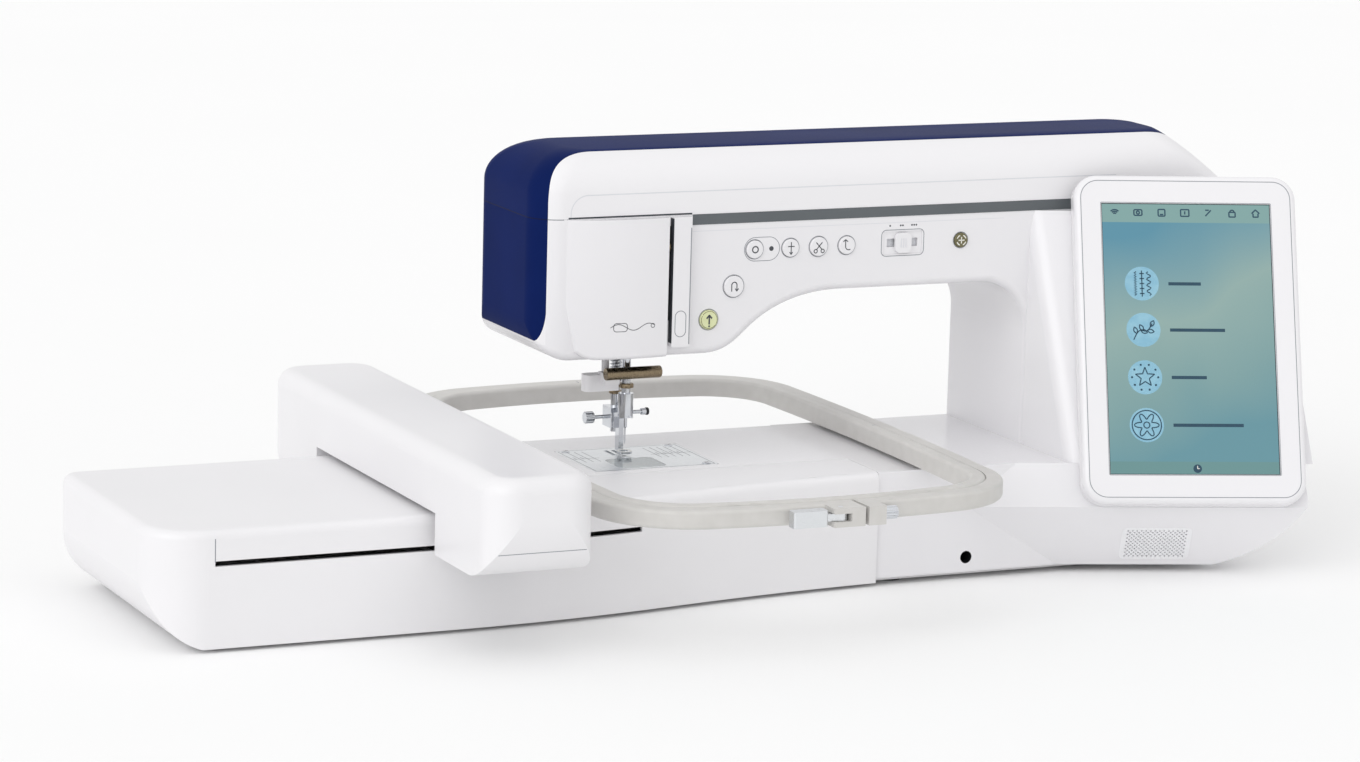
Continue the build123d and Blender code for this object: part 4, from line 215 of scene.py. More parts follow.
@dataclass(frozen=True)
class LitPanel(Finish):
    """Backlit display film: the picture glows, and the glossy cover glass lies over it.

    The UV map runs from 0 to 1 over the panel: a blue upper left and lower edge, a pale grey-green
    middle, a lighter bar along the top and a darker one along the bottom.

    Attributes:
        stops_at: colours up the panel, by their height on it.
        bar: colour of the upper bar.
        bar_v: height where it begins.
        foot: colour of the lower bar.
        foot_v: height where it ends.
        glow: strength of the light.
    """

    stops_at: tuple[tuple[float, str], ...] = ((0.0, "#6798A3"), (0.22, "#82A6A6"), (0.5, "#97B3AD"),
                                               (0.86, "#5A94AA"))
    bar: str = "#86ABA7"
    bar_v: float = 0.932
    foot: str = "#6C9695"
    foot_v: float = 0.045
    glow: float = 0.86

    def extend(self, tree: bpy.types.NodeTree, shader: bpy.types.Node) -> None:
        """Adds the glow as emission from the UV map.

        Args:
            tree: the material's nodes.
            shader: its principled shader.
        """
        uv = add_node(tree, "UVMap").outputs[0]
        part = add_node(tree, "SeparateXYZ", {0: uv})
        sway = add_node(tree, "TexNoise", {"Vector": uv, "Scale": 2.2, "Detail": 1.0})
        bent = add_node(tree, "Math", {0: sway, 1: 0.26, 2: -0.13}, operation="MULTIPLY_ADD")
        slope = add_node(tree, "Math", {0: part, 1: 0.22, 2: bent}, operation="MULTIPLY_ADD")
        high = add_node(tree, "Math", {0: part.outputs[1], 1: slope}, operation="SUBTRACT")
        ramp = add_node(tree, "ValToRGB", {0: high})
        stops = ramp.color_ramp.elements
        stops[1].position = self.stops_at[-1][0]
        for position, _ in self.stops_at[1:-1]:
            stops.new(position)
        for stop, (_, code) in zip(stops, self.stops_at):
            stop.color = linear(code)
        above = add_node(tree, "Math", {0: part.outputs[1], 1: self.bar_v}, operation="GREATER_THAN")
        below = add_node(tree, "Math", {0: part.outputs[1], 1: self.foot_v}, operation="LESS_THAN")
        barred = add_node(tree, "Mix", {0: above, 6: ramp, 7: linear(self.bar)}, data_type="RGBA")
        footed = add_node(tree, "Mix", {0: below, 6: barred.outputs[2], 7: linear(self.foot)},
                          data_type="RGBA")
        tree.links.new(footed.outputs[2], shader.inputs["Emission Color"])
        shader.inputs["Emission Strength"].default_value = self.glow


@dataclass(frozen=True)
class TwoTone(Finish):
    """A lacquered moulding with a field of the shell's white, parted by a clean masked edge."""

    field: str = "#ECEBED"

    def extend(self, tree: bpy.types.NodeTree, shader: bpy.types.Node) -> None:
        """Lays the white field over the lacquer where the mask is one.

        Args:
            tree: the material's nodes.
            shader: its principled shader.
        """
        under = shader.inputs["Base Color"].links[0].from_socket
        where = add_node(tree, "TexCoord").outputs["Object"]
        white = self.mask(tree, add_node(tree, "SeparateXYZ", {0: where}))
        both = add_node(tree, "Mix", {0: white, 6: under, 7: linear(self.field)}, data_type="RGBA")
        tree.links.new(both.outputs[2], shader.inputs["Base Color"])

    def mask(self, tree: bpy.types.NodeTree, axes: bpy.types.Node) -> bpy.types.Node:
        """Returns a node that gives one on the white field, from a node that gives x, y and z."""
        raise NotImplementedError


@dataclass(frozen=True)
class LidTone(TwoTone):
    """Lid: white up its front to a line along the top, with a round upper left corner.

    Attributes:
        bend_x: where the corner's rounding begins, in metres of the frame.
        reach_x: how far left it goes on.
        bend_s: sum of y and z where the rounding begins; the sum grows all the way up the front.
        reach_s: how much it grows until the line along the top.
    """

    bend_x: float = -0.0945
    reach_x: float = 0.040
    bend_s: float = 0.289
    reach_s: float = 0.054

    def mask(self, tree: bpy.types.NodeTree, axes: bpy.types.Node) -> bpy.types.Node:
        """Works out the field: squared shares of the way left and of the way up add to less than one.

        Args:
            tree: the material's nodes.
            axes: gives x, y and z.

        Returns:
            The node that gives the mask.
        """
        climb = add_node(tree, "Math", {0: axes.outputs[1], 1: axes.outputs[2]}, operation="ADD")
        left = add_node(tree, "MapRange", {0: axes, 1: self.bend_x, 2: self.bend_x - self.reach_x})
        high = add_node(tree, "MapRange", {0: climb, 1: self.bend_s, 2: self.bend_s + self.reach_s})
        squares = [add_node(tree, "Math", {0: share, 1: 2.0}, operation="POWER") for share in (left, high)]
        total = add_node(tree, "Math", dict(enumerate(squares)), operation="ADD")
        return add_node(tree, "Math", {0: total, 1: 0.999}, operation="LESS_THAN")


@dataclass(frozen=True)
class EndTone(TwoTone):
    """End cover: the lacquer ends in a quarter ellipse at its lower front edge, below which it is white.

    Attributes:
        left_x: where the ellipse is lowest, in metres of the frame.
        edge_x: where it is highest.
        low_z: its lowest height.
        rise: how much it rises.
    """

    left_x: float = -0.1445
    edge_x: float = -0.1343
    low_z: float = 0.190
    rise: float = 0.030

    def mask(self, tree: bpy.types.NodeTree, axes: bpy.types.Node) -> bpy.types.Node:
        """Works out the field: height under one minus the root of one less the squared share of x.

        Args:
            tree: the material's nodes.
            axes: gives x, y and z.

        Returns:
            The node that gives the mask.
        """
        share = add_node(tree, "MapRange", {0: axes, 1: self.left_x, 2: self.edge_x})
        square = add_node(tree, "Math", {0: share, 1: 2.0}, operation="POWER")
        rest = add_node(tree, "Math", {0: 1.0, 1: square}, operation="SUBTRACT")
        root = add_node(tree, "Math", {0: rest}, operation="SQRT")
        edge = add_node(tree, "Math", {0: root, 1: -self.rise, 2: self.low_z + self.rise},
                        operation="MULTIPLY_ADD")
        return add_node(tree, "Math", {0: axes.outputs[2], 1: edge}, operation="LESS_THAN")


class Finishes:
    """All finishes of the machine, each made once.

    Gloss ABS shows soft broad reflections and a faint orange-peel; painted panels show deeper
    reflections; drawn and plated metals show streaks along the way they were worked. Real moulding and
    turning grain is about a tenth of a millimetre, so every grain is drawn as coarse as it needs to show.
    """

    def __init__(self) -> None:
        """Builds every material under a short key."""
        kinds: dict[str, Finish] = {
            # Moulded gloss ABS, cool white: clear highlights with the slight waviness of a large moulding
            "white": Finish("moulded_gloss_abs_white", "#EBEAEC", "#E6E5E8", 0.24, 1.6, 0.003, 140.0,
                            coat=0.12),
            # Fine-textured ABS of the unit and arm: the same white, broken by a spark-eroded grain
            "satin": Finish("textured_abs_white", "#ECEBED", "#E7E6E8", 0.36, 0.7, 0.006, 120.0),
            # Navy lacquer on the end cover: deep colour with little shine and slight cloudiness
            "navy": EndTone("navy_lacquered_abs", "#12245F", "#0D1B49", 0.48, 0.6, 0.003, 70.0,
                            ior=1.35, specular=0.025),
            # The lid's moulding: the same lacquer, masked off against the white front
            "lid": LidTone("navy_and_white_lid_abs", "#12245F", "#0D1B49", 0.46, 0.8, 0.003, 90.0,
                           ior=1.35, specular=0.03),
            # Shadow gap between two navy mouldings: a line darker than both
            "navy_seam": Finish("recessed_joint_navy", "#0A1030", "#10183F", 0.60, 0.8, 0.006, 20.0,
                                specular=0.1),
            # Painted shade on the thread slot's wall, a dark strip where the slot lies in shadow; the same
            # dark grey draws the joint under the lid's front edge. Matt, with no highlight
            "slit": Finish("painted_slot_shade_and_lid_joint_abs", "#3A3D42", "#4A4D53", 0.70, 0.8, 0.006, 25.0, specular=0.2),
            # Dark grey trim moulding: brushed look, drawn along the strip
            "trim": Finish("drawn_grey_trim_abs", "#62686B", "#54595D", 0.38, 0.8, 0.004, 50.0,
                           stretch=(0.05, 1.0, 1.0)),
            # Glass-filled nylon of the hoop: warm grey, half matt, with short fibre mottling
            "nylon": Finish("moulded_nylon_warm_grey", "#D3D1CE", "#C5C3BF", 0.42, 0.9, 0.010, 12.0),
            # Brushed stainless plate: streaks along its length
            "steel": Finish("brushed_stainless_steel", "#E8EAEC", "#D6D9DC", 0.30, 0.5, 0.004, 30.0,
                            metallic=1.0, stretch=(0.06, 1.0, 1.0), spread=0.10),
            # Chrome plate on turned bars: near mirror with faint turning marks
            "chrome": Finish("chrome_plated_steel", "#DCDEE2", "#C2C5CA", 0.11, 0.4, 0.001, 20.0,
                             metallic=1.0, stretch=(0.2, 0.2, 1.0), spread=0.04),
            # Bronze bush metal: warm brown-grey with rings from turning
            "bronze": Finish("turned_bronze", "#9B8C74", "#7C6E58", 0.28, 0.4, 0.003, 14.0,
                             metallic=1.0, stretch=(1.0, 0.2, 0.2), spread=0.07),
            # Die-cast aluminium inside the arm: sand-like skin
            "cast": Finish("die_cast_aluminium", "#A4A7AA", "#8A8D91", 0.52, 1.4, 0.030, 40.0, metallic=1.0),
            # Moulded rubber feet and belt: dull black with dusty patches
            "rubber": Finish("moulded_nitrile_rubber", "#232425", "#2E2F30", 0.78, 1.0, 0.020, 25.0),
            # Black ABS of inlet and switch: grained, with a soft sheen
            "black": Finish("textured_abs_black", "#17181A", "#222326", 0.45, 0.6, 0.010, 30.0),
            # Speaker grille moulding: pale grey, fine texture
            "grille": Finish("textured_abs_pale_grey", "#F0F0F2", "#E8E8EB", 0.48, 0.7, 0.008, 30.0),
            # Clear acrylic over the bobbin: glossy, with the bobbin seen through a cool tint
            "clear": ClearPlastic("clear_moulded_acrylic", "#E9F1F4", "#DDE8EC", 0.06, 1.2, 0.002, 40.0,
                                  ior=1.49),
            # Cover glass edge round the picture: black print behind glass
            "glass": Finish("back_printed_cover_glass", "#23373D", "#2A4249", 0.08, 1.2, 0.0005, 60.0,
                            coat=0.6),
            # Display film: a glowing blue-green picture under gloss
            "picture": LitPanel("backlit_display_film", "#101E23", "#14262C", 0.10, 1.2, 0.0005, 60.0),
            # Translucent key cap: pale yellow-green, a little deeper in patches
            "green": Finish("translucent_key_cap_green", "#DFE3B8", "#D3D9A2", 0.30, 0.8, 0.003, 9.0,
                            coat=0.3),
            # Olive key moulding: half matt, with cloudy pigment
            "olive": Finish("moulded_key_olive", "#716B48", "#5F5A3B", 0.38, 0.7, 0.005, 7.0),
            # Screen-printed ink: dull near-black film with slight pinholes; the same charcoal is painted
            # shade in the slots of the plate's screws
            "ink": Finish("print_ink_and_slot_shade_charcoal", "#3A3D42", "#4B4E54", 0.55, 0.5, 0.004, 4.0),
            # Shadow gap between mouldings: recessed grey edge; the same grey is a painted shadow beside the
            # front cover's raised band
            "seam": Finish("recessed_joint_and_painted_shadow_grey", "#7C8087", "#8D9197", 0.60, 0.8, 0.006, 20.0),
            # Painted shade along soft creases where a moulding bends: a line barely darker than the shell;
            # the slider's ribs and its dust shield take the same darker white
            "crease": Finish("painted_crease_shade_and_slider_white", "#D3D4D9", "#DCDDE1", 0.45, 0.8, 0.004, 30.0),
            # White print on dark keys: a dull, slightly uneven film
            "mark": Finish("screen_print_ink_white", "#F2F1EA", "#DEDDD2", 0.50, 0.5, 0.004, 4.0),
            # Disc behind each picture on the display: pale blue that deepens in patches
            "disc": Finish("lit_disc_pale_blue", "#9CC7D6", "#6FA7C2", 0.15, 1.0, 0.0005, 9.0),
            # Lines of the picture: deep blue under gloss
            "line": Finish("lit_line_deep_blue", "#234A5E", "#1B3D50", 0.15, 1.0, 0.0005, 6.0),
        }
        self.made = {key: finish.build() for key, finish in kinds.items()}

    def __getitem__(self, key: str) -> bpy.types.Material:
        """Returns one material by its short key."""
        return self.made[key]


# ---------------------------------------------------------------- surfaces


@dataclass
class Shell:
    """A surface as points and faces, before it becomes an object."""

    points: np.ndarray
    faces: list

    @staticmethod
    def grid(points: np.ndarray, wrap_u: bool = False, wrap_v: bool = True, caps: bool = True) -> "Shell":
        """Joins a grid of points into quads.

        Args:
            points: rows by columns by three, in metres.
            wrap_u: whether the last row meets the first.
            wrap_v: whether the last column meets the first.
            caps: whether the first and last row are closed by a face.

        Returns:
            The shell.
        """
        rows, columns = points.shape[:2]
        index = np.arange(rows * columns).reshape(rows, columns)
        after = np.roll(index, -1, 0)
        here = np.stack([index, after, np.roll(after, -1, 1), np.roll(index, -1, 1)], -1)
        here = here if wrap_u else here[:-1]
        here = here if wrap_v else here[:, :-1]
        faces = here.reshape(-1, 4).tolist()
        if caps and not wrap_u:
            faces += [index[0].tolist(), index[-1][::-1].tolist()]
        return Shell(points.reshape(-1, 3), faces)

    @staticmethod
    def join(shells: Sequence["Shell"]) -> "Shell":
        """Puts several shells into one.

        Args:
            shells: the shells to join.

        Returns:
            One shell with all of them.
        """
        starts = np.cumsum([0] + [len(shell.points) for shell in shells])
        faces = [[corner + int(start) for corner in face]
                 for shell, start in zip(shells, starts) for face in shell.faces]
        return Shell(np.concatenate([shell.points for shell in shells]), faces)

    def make(self, name: str, material: bpy.types.Material) -> bpy.types.Object:
        """Turns the shell into an object.

        Args:
            name: the object's name.
            material: its finish.

        Returns:
            The object, linked to the scene.
        """
        mesh = bpy.data.meshes.new(name)
        mesh.from_pydata(self.points.tolist(), [], self.faces)
        mesh.materials.append(material)
        made = bpy.data.objects.new(name, mesh)
        bpy.context.scene.collection.objects.link(made)
        return made


@dataclass(frozen=True)
class Face:
    """A flat face of the machine that marks are laid on, in metres of the frame.

    Attributes:
        origin: point that flat measures start from.
        right: unit vector of the first measure.
        up: unit vector of the second.
    """

    origin: Sequence
    right: Sequence
    up: Sequence

    @property
    def out(self) -> np.ndarray:
        """Returns the unit vector that points out of the face."""
        return np.cross(self.right, self.up)

    def at(self, flat: np.ndarray, lift: float = 0.0) -> np.ndarray:
        """Turns flat millimetres into points.

        Args:
            flat: pairs of measures along right and up.
            lift: height above the face in millimetres.

        Returns:
            Points in metres.
        """
        flat = np.atleast_2d(np.asarray(flat, float)) * MM
        origin, right, up = map(np.asarray, (self.origin, self.right, self.up))
        return origin + flat[:, :1] * right + flat[:, 1:] * up + lift * MM * self.out

    def draw(self, strokes: Sequence[Stroke], width: float, height: float, lift: float = 0.0) -> list[Shell]:
        """Draws strokes on the face as ribbons.

        Args:
            strokes: flat paths, and whether each is a loop.
            width: width in millimetres.
            height: height in millimetres.
            lift: height of the path above the face.

        Returns:
            One shell for each stroke.
        """
        return [ribbon(self.at(path, lift), self.out, width, height, closed) for path, closed in strokes]


def unit(vectors: np.ndarray) -> np.ndarray:
    """Returns vectors at length one."""
    return vectors / np.maximum(np.linalg.norm(vectors, axis=-1, keepdims=True), 1e-12)


def corners_of(mesh: bpy.types.Mesh) -> np.ndarray:
    """Reads the points of a mesh.

    Args:
        mesh: the mesh.

    Returns:
        Points by three.
    """
    flat = np.zeros(len(mesh.vertices) * 3)
    mesh.vertices.foreach_get("co", flat)
    return flat.reshape(-1, 3)


def along(path: np.ndarray, closed: bool) -> np.ndarray:
    """Gives the direction of a path at each point, the mean of the steps before and after it.

    Args:
        path: points in order.
        closed: whether the last point is followed by the first.

    Returns:
        Unit vectors.
    """
    if closed:
        return unit(np.roll(path, -1, 0) - np.roll(path, 1, 0))
    return unit(np.gradient(path, axis=0))


def ribbon(path: np.ndarray, out: Sequence, width: float, height: float, closed: bool = False) -> Shell:
    """Carries a low crowned section along a path that lies on a surface.

    The section is six corners: a flat foot sunk one height below the path, upright sides, and a crown
    that is seven tenths as wide.

    Args:
        path: points on the surface, in metres.
        out: unit vector out of the surface, one or one for each point.
        width: width in millimetres.
        height: height of the crown in millimetres.
        closed: whether the path is a loop.

    Returns:
        The closed strip.
    """
    out = np.broadcast_to(out, path.shape)
    side = unit(np.cross(out, along(path, closed)))
    across = np.array([-0.5, -0.5, -0.35, 0.35, 0.5, 0.5]) * width * MM
    rise = np.array([-1.0, 0.5, 1.0, 1.0, 0.5, -1.0]) * height * MM
    return Shell.grid(path[:, None] + across[:, None] * side[:, None] + rise[:, None] * out[:, None], closed)


def tube(path: np.ndarray, radius: float, sides: int = 12, closed: bool = False) -> Shell:
    """Carries a circle along a path; the circle stands square to the path at each point.

    Args:
        path: middle line in metres.
        radius: radius in millimetres.
        sides: corners of the circle.
        closed: whether the path is a loop.

    Returns:
        The closed tube.
    """
    ahead = along(path, closed)
    guide = np.where(np.abs(ahead[:, 2:]) > 0.85, np.array([RIGHT]), np.array([UP]))
    side = unit(np.cross(guide, ahead))
    over = np.cross(ahead, side)
    turn = np.linspace(0, 2 * np.pi, sides, endpoint=False)
    circle = np.cos(turn)[:, None] * side[:, None] + np.sin(turn)[:, None] * over[:, None]
    return Shell.grid(path[:, None] + radius * MM * circle, closed)


def turned(profile: Sequence, foot: np.ndarray, axis: Sequence, sides: int = 40,
           ribs: int = 0, rib_mm: float = 0.0, loop: bool = False) -> Shell:
    """Turns a profile about an axis; ribs add a cosine wave to every radius.

    Args:
        profile: pairs of radius and height in millimetres, from the foot up.
        foot: point on the axis where height is nothing, in metres.
        axis: unit vector along the axis.
        sides: steps round the axis.
        ribs: number of waves round it.
        rib_mm: height of each wave.
        loop: whether the profile closes on itself, for a ring or a lining.

    Returns:
        The closed shell.
    """
    profile, axis = np.asarray(profile, float), np.asarray(axis, float)
    side = unit(np.cross(axis, RIGHT if abs(axis[0]) < 0.8 else BACK))
    over = np.cross(axis, side)
    turn = np.linspace(0, 2 * np.pi, sides, endpoint=False)
    wave = rib_mm * np.cos(ribs * turn)[None] if ribs else 0.0
    radius = np.maximum(profile[:, :1] + wave * (profile[:, :1] > 0.3), 1e-3)
    circle = np.cos(turn)[:, None] * side + np.sin(turn)[:, None] * over
    return Shell.grid(foot + MM * (radius[..., None] * circle[None] + profile[:, 1:, None] * axis), loop)


def pad(face: Face, outline: np.ndarray, height: float, lift: float = 0.0, edge: float = 0.12) -> Shell:
    """Raises a flat outline into a low pad with a rounded rim.

    Rings of the outline are drawn towards its middle: full size at the foot and half way up, then
    smaller by the rim's width at full height.

    Args:
        face: face that it lies on.
        outline: pairs of millimetres in order.
        height: height in millimetres.
        lift: height of its foot above the face.
        edge: share of the outline taken by the rim.

    Returns:
        The closed pad.
    """
    middle = outline.mean(0)
    levels = ((1.0, -height), (1.0, 0.4 * height), (1 - edge / 2, 0.85 * height), (1 - edge, height))
    rings = [face.at(middle + (outline - middle) * scale, lift + rise) for scale, rise in levels]
    return Shell.grid(np.stack(rings))


def arc(x: float, y: float, radius: float, start: float, end: float, count: int = 24) -> np.ndarray:
    """Gives points of a circle's arc, start and end in degrees, anticlockwise where end is larger."""
    turn = np.radians(np.linspace(start, end, count))
    return np.stack([x + radius * np.cos(turn), y + radius * np.sin(turn)], 1)


def ring(x: float, y: float, radius: float, count: int = 36) -> np.ndarray:
    """Gives the points of a full circle, without the first point twice."""
    return arc(x, y, radius, 0, 360, count + 1)[:-1]


def lozenge(x: float, y: float, width: float, height: float, radius: float, count: int = 8) -> np.ndarray:
    """Gives the outline of a rectangle with round corners about a middle.

    Args:
        x: first measure of the middle.
        y: second measure of the middle.
        width: full width.
        height: full height.
        radius: corner radius.
        count: points on each corner.

    Returns:
        The outline in order.
    """
    reach, rise = width / 2 - radius, height / 2 - radius
    middles = ((reach, rise, 0), (-reach, rise, 90), (-reach, -rise, 180), (reach, -rise, 270))
    return np.concatenate([arc(x + dx, y + dy, radius, start, start + 90, count)
                           for dx, dy, start in middles])


def run(*points: Sequence, step: float = 1.0) -> np.ndarray:
    """Divides straight runs between points so that no step is longer than the given one.

    Args:
        points: corners in order, of two or three measures.
        step: longest step, in the points' own measure.

    Returns:
        The points with those between them.
    """
    corners = np.asarray(points, float)
    reach = np.concatenate([[0], np.cumsum(np.linalg.norm(np.diff(corners, axis=0), axis=1))])
    spots = np.union1d(np.arange(0, reach[-1], step), reach)
    return np.stack([np.interp(spots, reach, measure) for measure in corners.T], 1)


def stroke(*points: Sequence, step: float = 1.0) -> Stroke:
    """Gives an open stroke through flat points."""
    return run(*points, step=step), False


def upright(flat: np.ndarray, y: float) -> np.ndarray:
    """Stands flat pairs of x and z up at one depth y."""
    return np.column_stack([flat[:, 0], np.full(len(flat), y), flat[:, 1]])


class Ground:
    """The CAD solids as something that marks can be set down on."""

    def __init__(self) -> None:
        """Starts with no solid read."""
        self.trees: dict[str, BVHTree] = {}

    def settle(self, points: np.ndarray, node: str, way: Sequence) -> tuple[np.ndarray, np.ndarray]:
        """Moves points along a direction until they meet a node.

        Args:
            points: points in metres, outside the node.
            node: the node to land on.
            way: unit vector of the movement.

        Returns:
            Points on the node and its unit normals there; a point that misses stays, facing back.
        """
        if node not in self.trees:
            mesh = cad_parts[node].data
            faces = [tuple(face.vertices) for face in mesh.polygons]
            self.trees[node] = BVHTree.FromPolygons(corners_of(mesh).tolist(), faces)
        hits = [self.trees[node].ray_cast(Vector(point), Vector(way)) for point in points]
        spots = np.array([point if hit[0] is None else hit[0] for point, hit in zip(points, hits)])
        normals = np.array([-np.asarray(way) if hit[0] is None else hit[1] for hit in hits])
        facing = np.sign(-(normals @ np.asarray(way)))[:, None]
        return spots, normals * np.where(facing == 0, 1, facing)

    def line(self, points: Sequence, node: str, way: Sequence, width: float, height: float = 0.06,
             step: float = 3.0) -> Shell:
        """Lays a thin line on a node along a route.

        Args:
            points: corners of the route in millimetres from the needle point, outside the node.
            node: the node that carries it.
            way: unit vector from the route to the node.
            width: width of the line in millimetres.
            height: height of the line in millimetres.
            step: longest step in millimetres.

        Returns:
            The line as a strip.
        """
        return ribbon(*self.settle(place(run(*points, step=step)), node, way), width, height)


# ---------------------------------------------------------------- sub-assemblies


@dataclass
class Assembly:
    """What every sub-assembly works with.

    Attributes:
        finishes: the machine's finishes.
        ground: the solids that marks are set down on.
    """

    finishes: Finishes
    ground: Ground

    def add(self, name: str, finish: str, *shells: Shell, body: str = "base",
            slot: Slot | None = None) -> bpy.types.Object:
        """Makes one piece of some shells: merged, facing outwards, and smooth up to 35 degrees.

        Args:
            name: the piece's name.
            finish: short key of its finish.
            shells: the shells.
            body: the body that carries it.
            slot: the record's slot, where it isn't the finish's usual one; not used.

        Returns:
            The object.
        """
        slot = slot or SLOTS[finish]
        piece = Shell.join(shells).make(name, self.finishes[finish])
        mesh = piece.data
        solid = bmesh.new()
        solid.from_mesh(mesh)
        bmesh.ops.remove_doubles(solid, verts=solid.verts, dist=1e-7)
        bmesh.ops.recalc_face_normals(solid, faces=solid.faces)
        solid.to_mesh(mesh)
        solid.free()
        mesh.shade_smooth()
        mesh.set_sharp_from_angle(angle=np.radians(35))
        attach(piece, body)
        LOG.info("piece %s on %s: %d faces", name, body, len(mesh.polygons))
        return piece


@dataclass
class CadFinishes(Assembly):
    """Gives every CAD node its finish."""

    def build(self) -> None:
        """Assigns a material to each node's slots."""
        groups = {
            "white": "base_housing arm_front_cover arm_rear_cover pillar_cover display_frame face_cover "
                     "button_reverse button_reinforce button_needle button_cutter button_lifter speed_slider",
            "satin": "unit_top_shell unit_lower_shell arm_shell y_carriage base_plate presser_lever threader "
                     "bobbin_case handwheel",
            "navy": "end_cover",
            "lid": "lid_rear lid_front",
            "trim": "trim_strip",
            "nylon": "hoop_outer hoop_inner",
            "steel": "needle_plate feed_dog rotary_hook hoop_lever",
            "chrome": "needle_bar presser_bar needle needle_clamp clamp_screw foot_screw main_shaft "
                      "lower_shaft x_rails y_rails hinge_pins screws hoop_screw embroidery_foot",
            "bronze": "take_up_lever",
            "cast": "machine_frame arm_frame x_carriage",
            "rubber": "feet timing_belt",
            "black": "power_inlet power_switch display_panel",
            "grille": "speaker_grille",
            "clear": "bobbin_cover bobbin",
            "glass": "display_glass",
            "green": "button_start",
            "olive": "button_clamp",
        }
        for key, names in groups.items():
            for name in names.split():
                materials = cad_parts[name].data.materials
                materials.clear()
                materials.append(self.finishes[key])
                LOG.info("node %s: %s", name, self.finishes[key].name)


